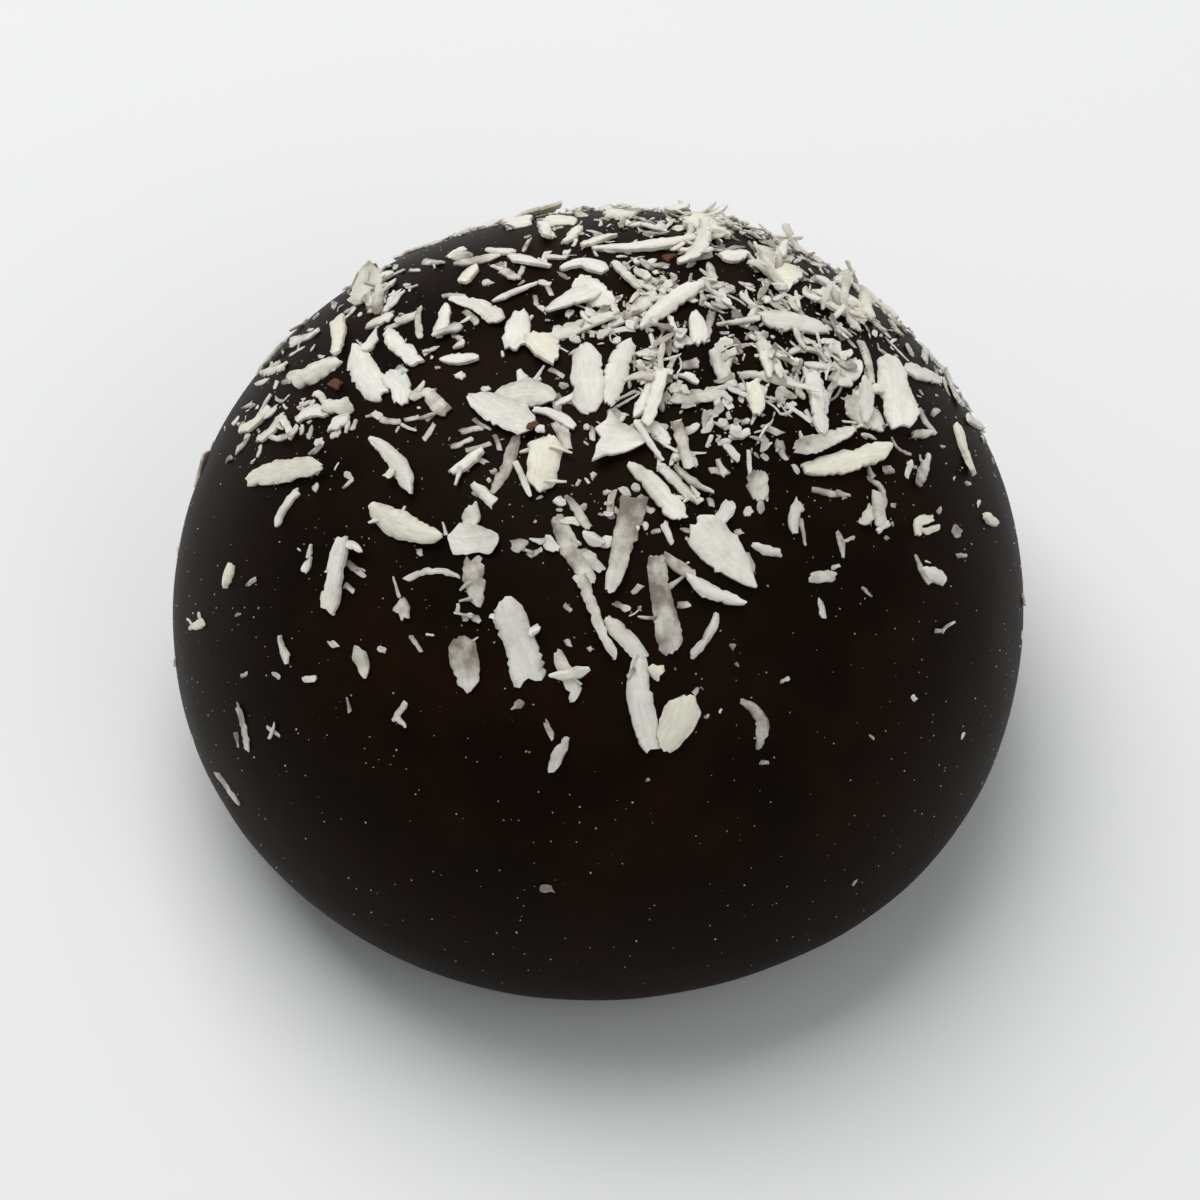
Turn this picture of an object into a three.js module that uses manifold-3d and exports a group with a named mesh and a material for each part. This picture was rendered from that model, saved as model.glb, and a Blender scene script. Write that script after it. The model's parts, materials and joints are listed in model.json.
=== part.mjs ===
// A chocolate-coated mochi: a soft round dome in a thin coat of dark chocolate, strewn with
// flakes of dried coconut that set into the coat while it was still wet. It is one solid.
// Millimetres, +Z up. The origin is the middle of the flat spot that the dome rests on, and -Y is
// its front.

import * as THREE from "three";
import { mergeVertices } from "three/addons/utils/BufferGeometryUtils.js";
import Module from "manifold-3d";

const wasm = await Module();
wasm.setup();

// The coated dome. Its section is a tall quarter ellipse above the belly and a tighter one below,
// which rolls under to the flat spot.
const WIDTH = 56;
const HEIGHT = 36.5;
const BELLY = 11; // height of the widest part
const REST_WIDTH = 36; // across the flat spot underneath
const SWELL = 0.3; // how far the hand-made coat swells and sinks
const STEPS_ABOVE = 14; // rings from the belly to the crown
const STEPS_BELOW = 6; // rings from the flat spot to the belly
const SEGMENTS = 60;

// A coconut flake.
const PROUD = 0.55; // how far it stands out of the coat
const SINK = 0.6; // how deep its underside lies in the coat
const RAGGED = 0.22; // how unevenly its edges are torn, as a share of its size
const LEAN = 0.07; // how far it may lie off level, in radians

// The strewn flakes, which lie thickest round a heart behind the crown and thin out from there.
const STREWN_LENGTH = [1.8, 4.4];
const STREWN_WIDTH = [0.7, 1.5];
const ROOM = 2.1; // clear distance that a strewn flake keeps from the large ones
const SPOTS = 760; // places tried, evenly spread
const LOWEST_SPOT = -0.35; // sine of the lowest slope on which coconut has caught
const HEART = new THREE.Vector3(0.2, 0.35, 0.9).normalize();
const HEART_SIZE = 0.3; // radians round the heart with the full cover
const COVER_SIZE = 1.1; // radians from the heart to where the cover has thinned out
const FULL_COVER = 0.6; // share of the spots that hold a flake at the heart
const EDGE_COVER = 0.025; // and on the lower sides
const STREWING_SEED = 1859;
const TEARING_SEED = 4451;

// The large flakes have their places. Each is [across, up, across, up, width]: its two ends as
// they are seen from in front of the dome and above it, measured from the dome's middle.
const VIEW_LIFT = THREE.MathUtils.degToRad(54);
const VIEW_DISTANCE = 349;
const LARGE_FLAKES = [
  [-23.1, 8.8, -17.9, 9.5, 1.3],
  [-20.0, 15.0, -17.2, 16.8, 1.1],
  [-16.1, 17.7, -14.0, 14.6, 1.9],
  [-14.2, 18.7, -12.0, 16.5, 1.0],
  [-15.1, 11.8, -12.2, 8.0, 1.0],
  [-15.0, 7.1, -10.2, 5.1, 1.3],
  [-16.7, 4.9, -18.0, 0.4, 1.3],
  [-24.2, 3.4, -24.7, 1.9, 0.9],
  [-16.0, 21.0, -14.0, 21.9, 2.0],
  [-9.8, 20.7, -6.4, 19.3, 0.9],
  [-5.2, 19.9, -5.5, 17.5, 1.5],
  [-4.5, 18.5, -2.9, 16.7, 1.5],
  [-8.5, 14.4, -4.2, 12.5, 2.0],
  [-3.6, 11.7, -4.0, 8.2, 2.6],
  [-9.7, 5.1, -6.9, 5.3, 1.9],
  [-8.4, 3.6, -8.2, 0.7, 1.1],
  [-6.3, 0.8, -4.4, -4.3, 2.1],
  [-9.3, -1.5, -8.4, -4.9, 1.9],
  [-2.8, -2.4, -1.6, -5.3, 1.0],
  [-2.2, -7.9, -3.3, -10.3, 0.8],
  [-0.5, 24.3, 6.6, 24.6, 0.9],
  [5.8, 25.9, 8.2, 24.4, 2.0],
  [-1.5, 22.0, 0.4, 20.5, 1.4],
  [-0.9, 17.3, -0.6, 13.9, 1.6],
  [0.1, 13.3, 0.8, 10.0, 2.5],
  [2.5, 19.2, 6.5, 21.5, 1.1],
  [6.2, 19.9, 6.6, 17.9, 1.1],
  [2.1, 10.2, 5.4, 6.5, 1.2],
  [2.3, 8.0, 0.6, 1.5, 1.2],
  [-3.0, 6.5, -0.6, 2.0, 1.1],
  [3.9, 3.8, 4.7, -2.2, 1.7],
  [6.3, 5.7, 9.9, 2.2, 2.1],
  [2.6, -2.9, 3.2, -8.6, 1.5],
  [4.0, -8.6, 5.6, -5.8, 1.6],
  [9.3, -5.6, 10.6, -8.8, 0.9],
  [9.8, 22.6, 12.9, 21.6, 1.8],
  [14.0, 21.0, 17.2, 19.8, 2.0],
  [10.6, 19.2, 14.6, 19.0, 1.1],
  [19.0, 16.8, 19.6, 12.2, 1.9],
  [14.0, 16.2, 14.5, 11.8, 1.2],
  [12.6, 10.7, 16.8, 12.1, 1.0],
  [13.6, 9.4, 19.1, 10.9, 1.2],
  [10.4, 9.6, 10.5, 7.7, 1.3],
];

const QUARTER = Math.PI / 2;
const GOLDEN_ANGLE = Math.PI * (3 - Math.sqrt(5));

// Repeatable draws between 0 and 1, by the minimal standard generator.
function makeDraws(seed) {
  let state = seed;
  return () => {
    state = (state * 16807) % 2147483647;
    return state / 2147483647;
  };
}

// The coat's gentle swells, in millimetres, fading out towards the flat spot.
function swellAt(turn, climb) {
  const waves =
    Math.sin(2 * turn + 0.7) * Math.cos(climb) +
    0.7 * Math.sin(3 * turn - 1.9 + 2 * climb) * Math.cos(climb) +
    0.5 * Math.sin(5 * turn + 3 * climb) * Math.cos(climb);
  const fade = THREE.MathUtils.smoothstep(climb, -QUARTER, 0);
  return (SWELL * fade * waves) / 1.5;
}

// A point of the coat and the way it faces. turn goes round the dome. climb goes from a quarter
// turn below zero at the rim of the flat spot, through zero at the belly, to a quarter at the crown.
function coatAt(turn, climb) {
  const radius = WIDTH / 2;
  const reach = climb < 0 ? radius - REST_WIDTH / 2 : radius;
  const rise = climb < 0 ? BELLY : HEIGHT - BELLY;
  const out = radius - reach + reach * Math.cos(climb);
  const slope = new THREE.Vector2(rise * Math.cos(climb), reach * Math.sin(climb)).normalize();
  const facing = new THREE.Vector3(slope.x * Math.cos(turn), slope.x * Math.sin(turn), slope.y);
  const point = new THREE.Vector3(
    out * Math.cos(turn),
    out * Math.sin(turn),
    BELLY + rise * Math.sin(climb)
  );
  return { point: point.addScaledVector(facing, swellAt(turn, climb)), facing };
}

// A three.js geometry as a solid: shared corners merged and folded triangles dropped.
function toSolid(geometry) {
  const bare = geometry.clone();
  for (const name of Object.keys(bare.attributes)) {
    if (name !== "position") bare.deleteAttribute(name);
  }
  const merged = mergeVertices(bare, 1e-4);
  const corners = merged.index.array;
  const triangles = [];
  for (let i = 0; i < corners.length; i += 3) {
    const [a, b, c] = [corners[i], corners[i + 1], corners[i + 2]];
    if (a !== b && b !== c && c !== a) triangles.push(a, b, c);
  }
  const mesh = new wasm.Mesh({
    numProp: 3,
    vertProperties: new Float32Array(merged.attributes.position.array),
    triVerts: new Uint32Array(triangles),
  });
  return new wasm.Manifold(mesh);
}

function toGeometry(solid) {
  const mesh = solid.getMesh();
  const geometry = new THREE.BufferGeometry();
  geometry.setAttribute("position", new THREE.BufferAttribute(mesh.vertProperties, 3));
  geometry.setIndex(new THREE.BufferAttribute(mesh.triVerts, 1));
  geometry.computeVertexNormals();
  return geometry;
}

// The dome: its section turned round the upright axis, then every corner moved onto the coat.
function buildDome() {
  const climbs = [];
  for (let i = 0; i <= STEPS_BELOW; i++) climbs.push(-QUARTER * (1 - i / STEPS_BELOW));
  for (let i = 1; i < STEPS_ABOVE; i++) climbs.push((QUARTER * i) / STEPS_ABOVE);
  const section = climbs.map((climb) => {
    const { point } = coatAt(0, climb);
    return new THREE.Vector2(point.x, point.z);
  });
  section.unshift(new THREE.Vector2(0, 0));
  section.push(new THREE.Vector2(0, HEIGHT));

  const geometry = new THREE.LatheGeometry(section, SEGMENTS);
  geometry.rotateX(QUARTER);
  const places = geometry.attributes.position;
  const rings = section.length;
  for (let i = 0; i < places.count; i++) {
    const ring = i % rings;
    if (ring === 0 || ring === rings - 1) continue;
    const turn = Math.atan2(places.getY(i), places.getX(i));
    const { point } = coatAt(turn, climbs[ring - 1]);
    places.setXYZ(i, point.x, point.y, point.z);
  }
  return toSolid(geometry);
}

// Where the coat lies behind a place in the view from in front and above.
function coatSeenAt(across, up) {
  const toViewer = new THREE.Vector3(0, -Math.cos(VIEW_LIFT), Math.sin(VIEW_LIFT));
  const viewUp = new THREE.Vector3(0, Math.sin(VIEW_LIFT), Math.cos(VIEW_LIFT));
  const eye = toViewer.clone().multiplyScalar(VIEW_DISTANCE);
  const target = new THREE.Vector3(across, 0, 0).addScaledVector(viewUp, up);
  const squeeze = new THREE.Vector3(1, 1, WIDTH / 2 / (HEIGHT - BELLY));
  const start = eye.clone().multiply(squeeze);
  const sight = target.sub(eye).multiply(squeeze).normalize();
  const hit = new THREE.Vector3();
  new THREE.Ray(start, sight).intersectSphere(new THREE.Sphere(undefined, WIDTH / 2), hit);
  const climb = Math.asin(hit.z / (WIDTH / 2));
  return coatAt(Math.atan2(hit.y, hit.x), climb);
}

// A flake's torn outline: a strip with ragged edges that narrows at its ends.
function tornOutline(length, width, draw) {
  const uneven = () => 1 + RAGGED * (2 * draw() - 1);
  const stations = [-0.5, -0.18, 0.18, 0.5];
  const edge = (side) =>
    stations.map((along) => {
      const full = Math.abs(along) < 0.5 ? 0.5 : 0.34;
      return new THREE.Vector2(along * length * uneven(), side * full * width * uneven());
    });
  return new THREE.Shape([...edge(-1), ...edge(1).reverse()]);
}

// One flake, lying along a direction on the coat.
function buildFlake({ point, facing }, direction, length, width, draw) {
  const depth = SINK + PROUD;
  const outline = tornOutline(length, width, draw);
  const geometry = new THREE.ExtrudeGeometry(outline, { depth, bevelEnabled: false });
  geometry.translate(0, 0, -SINK);
  geometry.rotateX(LEAN * (2 * draw() - 1));
  geometry.rotateY(LEAN * (2 * draw() - 1));
  const along = direction.clone().projectOnPlane(facing).normalize();
  const aside = new THREE.Vector3().crossVectors(facing, along);
  const placing = new THREE.Matrix4().makeBasis(along, aside, facing).setPosition(point);
  geometry.applyMatrix4(placing);
  return toSolid(geometry);
}

function buildLargeFlakes(draw) {
  return LARGE_FLAKES.map(([acrossA, upA, acrossB, upB, width]) => {
    const start = coatSeenAt(acrossA, upA).point;
    const end = coatSeenAt(acrossB, upB).point;
    const middle = coatSeenAt((acrossA + acrossB) / 2, (upA + upB) / 2);
    const direction = end.clone().sub(start);
    const solid = buildFlake(middle, direction, direction.length(), width, draw);
    return { solid, places: [start, middle.point, end] };
  });
}

// The share of the spots round a place that hold a flake.
function coverAt(turn, climb) {
  const outward = new THREE.Vector3(
    Math.cos(climb) * Math.cos(turn),
    Math.cos(climb) * Math.sin(turn),
    Math.sin(climb)
  );
  const thinning = THREE.MathUtils.smoothstep(outward.angleTo(HEART), HEART_SIZE, COVER_SIZE);
  return THREE.MathUtils.lerp(FULL_COVER, EDGE_COVER, thinning);
}

// The strewn flakes: a spiral of even spots from the crown down, some of which hold a flake.
// Short ones are commoner than long ones.
function buildStrewnFlakes(taken, strew, tear) {
  const solids = [];
  for (let i = 0; i < SPOTS; i++) {
    const climb = Math.asin(THREE.MathUtils.lerp(1, LOWEST_SPOT, (i + 0.5) / SPOTS));
    const turn = i * GOLDEN_ANGLE;
    const spot = coatAt(turn, climb);
    const holds = strew() < coverAt(turn, climb);
    const heading = 2 * Math.PI * strew();
    const length = THREE.MathUtils.lerp(...STREWN_LENGTH, strew() ** 2);
    const width = THREE.MathUtils.lerp(...STREWN_WIDTH, strew());
    const free = taken.every((place) => place.distanceTo(spot.point) > ROOM);
    if (!holds || !free) continue;
    const direction = new THREE.Vector3(Math.cos(heading), Math.sin(heading), 0);
    solids.push(buildFlake(spot, direction, length, width, tear));
  }
  return solids;
}

const tear = makeDraws(TEARING_SEED);
const largeFlakes = buildLargeFlakes(tear);
const takenPlaces = largeFlakes.flatMap((flake) => flake.places);
const strewnFlakes = buildStrewnFlakes(takenPlaces, makeDraws(STREWING_SEED), tear);
let mochi = buildDome();
for (const { solid } of largeFlakes) mochi = mochi.add(solid);
for (const solid of strewnFlakes) mochi = mochi.add(solid);

const darkChocolate = new THREE.MeshStandardMaterial({
  color: "#1c130e",
  roughness: 0.45,
  metalness: 0,
});
const mesh = new THREE.Mesh(toGeometry(mochi), darkChocolate);
mesh.name = "chocolate_mochi";

const part = new THREE.Group();
part.add(mesh);
export default part;
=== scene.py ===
"""A mochi dipped in dark chocolate and strewn with dried coconut, in the order it is made."""

import json
import math

import bmesh
import bpy
import numpy as np
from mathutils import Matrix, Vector, noise

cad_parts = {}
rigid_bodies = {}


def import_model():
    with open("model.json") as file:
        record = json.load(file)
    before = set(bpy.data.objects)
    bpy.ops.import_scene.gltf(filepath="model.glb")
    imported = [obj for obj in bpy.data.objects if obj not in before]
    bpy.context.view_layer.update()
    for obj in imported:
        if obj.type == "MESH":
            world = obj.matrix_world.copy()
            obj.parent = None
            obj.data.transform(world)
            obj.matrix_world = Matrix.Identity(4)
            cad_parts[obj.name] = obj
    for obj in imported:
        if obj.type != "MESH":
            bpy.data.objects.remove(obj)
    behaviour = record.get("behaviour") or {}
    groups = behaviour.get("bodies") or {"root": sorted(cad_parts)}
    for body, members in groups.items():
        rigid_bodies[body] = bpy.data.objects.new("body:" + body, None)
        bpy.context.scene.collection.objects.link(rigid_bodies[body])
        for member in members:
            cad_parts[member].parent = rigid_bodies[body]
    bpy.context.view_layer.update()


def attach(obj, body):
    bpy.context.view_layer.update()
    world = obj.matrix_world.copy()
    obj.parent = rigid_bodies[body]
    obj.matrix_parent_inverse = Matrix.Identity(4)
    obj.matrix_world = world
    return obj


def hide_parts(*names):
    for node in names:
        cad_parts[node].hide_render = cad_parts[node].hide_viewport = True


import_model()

# --- The coat ---------------------------------------------------------------------------------
# A soft ball of rice dough that has settled under its own weight, dipped whole in melted dark
# chocolate. The chocolate sets to a thin satin skin over the slow swells of hand-shaped dough.

MM = 0.001  # sizes are worked out in millimetres, and meshes are in metres
QUARTER = math.pi / 2
WIDTH = 56.0
HEIGHT = 36.5
BELLY = 11.0  # height of the widest part
REST_WIDTH = 36.0  # across the flat spot underneath
SWELL = 0.3  # how far the dough swells and sinks
# The swells: how strong, how many go round the dome, where they start, and how they wind upwards.
SWELLS = ((1.0, 2, 0.7, 0), (0.7, 3, -1.9, 2), (0.5, 5, 0.0, 3))
SWELLS_TOGETHER = 1.5  # about how strong they are where they add up
RIPPLE = 0.05  # finer unevenness of the chocolate itself
RIPPLE_LENGTH = 4.5
RIPPLED_FROM = 3.0  # height by which the ripples have grown to their full size
ROLLED_UNDER = math.radians(50)  # corners of the ball lower than this make the flat spot


def smooth_step(value, low, high):
    share = np.clip((value - low) / (high - low), 0, 1)
    return share * share * (3 - 2 * share)


def unit(vectors):
    return vectors / np.linalg.norm(vectors, axis=-1, keepdims=True)


def round_dome(turn, out, up):
    """What lies so far out from the dome's axis and so far up, at a turn round it."""
    return np.stack([out * np.cos(turn), out * np.sin(turn), up], axis=-1)


def coat_at(turn, climb):
    """Points of the coat and the way it faces. turn goes round the dome. climb goes from a quarter
    turn below zero at the rim of the flat spot, through zero at the belly, to the crown."""
    radius = WIDTH / 2
    reach = np.where(climb < 0, radius - REST_WIDTH / 2, radius)
    rise = np.where(climb < 0, BELLY, HEIGHT - BELLY)
    out = radius - reach + reach * np.cos(climb)
    slope = unit(np.stack([rise * np.cos(climb), reach * np.sin(climb)], axis=-1))
    facing = round_dome(turn, slope[..., 0], slope[..., 1])
    waves = np.cos(climb) * sum(
        strength * np.sin(count * turn + start + wind * climb)
        for strength, count, start, wind in SWELLS
    )
    swell = SWELL * smooth_step(climb, -QUARTER, 0) * waves / SWELLS_TOGETHER
    return round_dome(turn, out, BELLY + rise * np.sin(climb)) + facing * swell[..., None], facing


def set_inputs(node, inputs):
    """Sets or links a node's inputs, which go by name, or by number where names are alike."""
    for name, value in dict(inputs).items():
        if isinstance(name, int):
            socket = node.inputs[name]
        else:
            socket = next(s for s in node.inputs if s.enabled and s.name == name)
        if isinstance(value, bpy.types.NodeSocket):
            node.id_data.links.new(value, socket)
        else:
            socket.default_value = value


def add_node(tree, kind, inputs=(), **settings):
    """Adds a node with its settings made and its inputs set or linked, and gives its output."""
    node = tree.nodes.new(kind)
    for name, value in settings.items():
        setattr(node, name, value)
    set_inputs(node, inputs)
    return next((s for s in node.outputs if s.enabled), None)


def add_noise(tree, place, scale, detail, roughness=0.5):
    inputs = {"Vector": place, "Scale": scale, "Detail": detail, "Roughness": roughness}
    return add_node(tree, "ShaderNodeTexNoise", inputs)


def fit_range(tree, value, old=(0.0, 1.0), new=(0.0, 1.0)):
    """Moves what lies in an old range to a new one."""
    ends = dict(zip(("From Min", "From Max", "To Min", "To Max"), (*old, *new)))
    return add_node(tree, "ShaderNodeMapRange", {"Value": value, **ends})


def mix_colours(tree, share, first, second, **settings):
    inputs = {"Factor": share, "A": first, "B": second}
    return add_node(tree, "ShaderNodeMix", inputs, data_type="RGBA", **settings)


def add_bump(tree, height, strength, depth, **under):
    """Low relief, on other relief where its Normal is given."""
    inputs = {"Height": height, "Strength": strength, "Distance": depth, **under}
    return add_node(tree, "ShaderNodeBump", inputs)


def new_finish(name):
    """A material, its node tree and its shader."""
    finish = bpy.data.materials.new(name)
    finish.use_nodes = True
    return finish, finish.node_tree, finish.node_tree.nodes["Principled BSDF"]


def add_object(name, data):
    added = bpy.data.objects.new(name, data)
    bpy.context.collection.objects.link(added)
    return added


def make_chocolate():
    """Nearly black brown, satin, with faint warm clouds and the fine grain of set chocolate."""
    finish, tree, shader = new_finish("dark_chocolate_coat")
    place = add_node(tree, "ShaderNodeTexCoord").node.outputs["Object"]
    clouds = add_noise(tree, place, scale=130.0, detail=4.0, roughness=0.6)
    grain = add_noise(tree, place, scale=1500.0, detail=3.0, roughness=0.55)
    warmth = fit_range(tree, clouds, (0.42, 0.8))
    dark, warm = (0.0050, 0.0026, 0.0014, 1), (0.0140, 0.0056, 0.0026, 1)
    looks = {
        "Base Color": mix_colours(tree, warmth, dark, warm),
        "Roughness": fit_range(tree, clouds, new=(0.42, 0.60)),
        "Specular IOR Level": 0.12,
        "Specular Tint": (1.0, 0.84, 0.7, 1),
        "IOR": 1.28,
        "Normal": add_bump(tree, grain, strength=0.5, depth=0.04 * MM),
    }
    set_inputs(shader, looks)
    return finish


def make_coat(finish):
    """A ball of small triangles drawn out to the dome. Its lowest corners make the flat spot."""
    ball = bmesh.new()
    bmesh.ops.create_icosphere(ball, subdivisions=7, radius=1)
    mesh = bpy.data.meshes.new("chocolate_coat")
    ball.to_mesh(mesh)
    ball.free()
    rays = np.array([corner.co for corner in mesh.vertices])
    turn = np.arctan2(rays[:, 1], rays[:, 0])
    lift = np.arcsin(np.clip(rays[:, 2], -1, 1))
    below = np.clip(lift / ROLLED_UNDER, -1, 0) * QUARTER
    points, facing = coat_at(turn, np.where(lift < 0, below, lift))
    ripples = np.array([noise.noise(Vector(p) / RIPPLE_LENGTH) for p in points])
    points += facing * (RIPPLE * ripples * smooth_step(points[:, 2], 0, RIPPLED_FROM))[:, None]
    flat = lift < -ROLLED_UNDER
    inwards = (lift[flat] + QUARTER) / (QUARTER - ROLLED_UNDER)
    points[flat] = round_dome(turn[flat], REST_WIDTH / 2 * inwards, 0 * inwards)
    mesh.vertices.foreach_set("co", (points * MM).ravel())
    mesh.shade_smooth()
    mesh.materials.append(finish)
    return add_object("chocolate_coat", mesh), points, facing


def join_mochi(piece):
    """Every piece of the sweet stands for the one solid and keeps to its body."""
    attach(piece, "root")
    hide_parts("chocolate_mochi")


coat, coat_points, coat_facing = make_coat(make_chocolate())
join_mochi(coat)

# --- The large coconut flakes -------------------------------------------------------------------
# Dried coconut, cut into thin strips and torn at the ends, dropped on the wet coat by hand. Each
# lies where it fell, a little curled and twisted, and on top of those that fell before it.

VIEW_LIFT = math.radians(54)  # flakes are placed as seen from in front of the dome and above it
VIEW_DISTANCE = 349.0
TO_VIEWER = np.array([0, -math.cos(VIEW_LIFT), math.sin(VIEW_LIFT)])
VIEW_UP = np.array([0, math.sin(VIEW_LIFT), math.cos(VIEW_LIFT)])
LINE_POINTS = 12  # points of the line that such a flake is laid along

# How a flake is cut and torn.
STATION = 0.23  # step between the stations along a flake
STATIONS = 5, 26  # fewest and most of them
WIDE = 0.5, 1.2  # a flake wider than each of these has two more columns of corners
CORNER_STEP = 1.5  # about how far apart the corners of its torn edges lie
CORNERS_BETWEEN = 0.12, 0.88  # and where, as shares of its length
RAGGED = 0.17  # how unevenly its long edges are torn, as a share of its width
FRAYED = 0.03  # how far single fibres fray out of them
FRAYED_SHARE = 0.05  # and that at most, as a share of its width
NICK = 0.16  # how deep the nicks in them are
NICK_SHARE = 0.15  # and that at most, as a share of its width
NICKED = 0.08  # the share of an edge that is nicked
BENT = 0.025  # how far it bends sideways, as a share of its length
SLANT = 0.25  # how far its ends are torn aslant, as a share of their width
TEAR = 0.17  # how far the fibres there reach out or fall short
CORNER = 0.12  # how far the corners there are rubbed off
WIDE_END = 1.8  # ends wider than this are torn no further
RIDGE = 0.016  # how uneven its faces are
CUP = -0.13, 0.09  # how far its sides curl up, as a share of its width
BOW = -0.02, 0.04  # how far its ends curl up, as a share of its length
THICKEST = 0.42  # its greatest thickness, as a share of its width
ROUNDED = 0.25  # how much of its thickness is lost towards its very edges and ends

# How it comes to lie.
NARROWEST_SEEN = 0.6  # the least share of its width that shows from in front
THICKNESSES = 0.8, 1.2  # from the thinnest to the thickest of one look
ROLL = 0.17  # how far it leans over to one side
TWIST = 0.35  # and how much more at one end than at the other
PROP = 0.7  # how far leaning lifts it, as a share of what its lower edge would sink
TILT = 0.05  # how much higher one end lies, as a share of its length
SINK = 0.08  # how deep a flake has settled into the coat
PILE_CELL = 0.45  # size of the cells in which the height of the heap is kept
PILE_SHARE = 0.8  # how much of the heap's height under it lifts a flake
PILE_TOP = 1.3

# The slivers that fray out of it.
SLIVER_THICKNESS = 0.18
SLIVER_WIDTH = 0.2, 0.45
SLIVER_TIP = 0.12
SLIVER_LENGTH = 0.3, 1.2
SLIVER_ROOT = 0.2  # where it comes off, from the middle of the flake, as a share of its width
SLIVER_HIDDEN = 0.35  # how much of the width it lies over before it sticks out
SLIVER_SLANT = 1.5  # how far it may slant along the flake
SLIVER_POINTS = 4

# How it looks.
THIN_EDGE = np.array([0.3, 0, 0])  # how much thinner than its middle its edges look
FADING = 0.1, 0.8  # how much thinner than its last end a thin flake's first end looks
SHARP_EDGE = math.radians(38)  # edges that turn further than this look sharp
GRAIN_STEP = 7.3  # how far apart in one pattern the fibres of two flakes are taken from

# The looks: (thin, creamy, brown), and the thickness that goes with it.
BRIGHT = (0.0, 0.0, 0.0), 0.29
PLAIN = (0.16, 0.2, 0.0), 0.23
CREAM = (0.0, 0.8, 0.0), 0.33
PALE = (0.45, 0.2, 0.0), 0.16
GREY = (0.65, 0.2, 0.0), 0.13
# Brown coconut skin. One chip of this brown below is a painted shadow, where shade falls under a
# flake.
SKIN_AND_SHADOW = (0.1, 0.3, 1.0), 0.26

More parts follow.
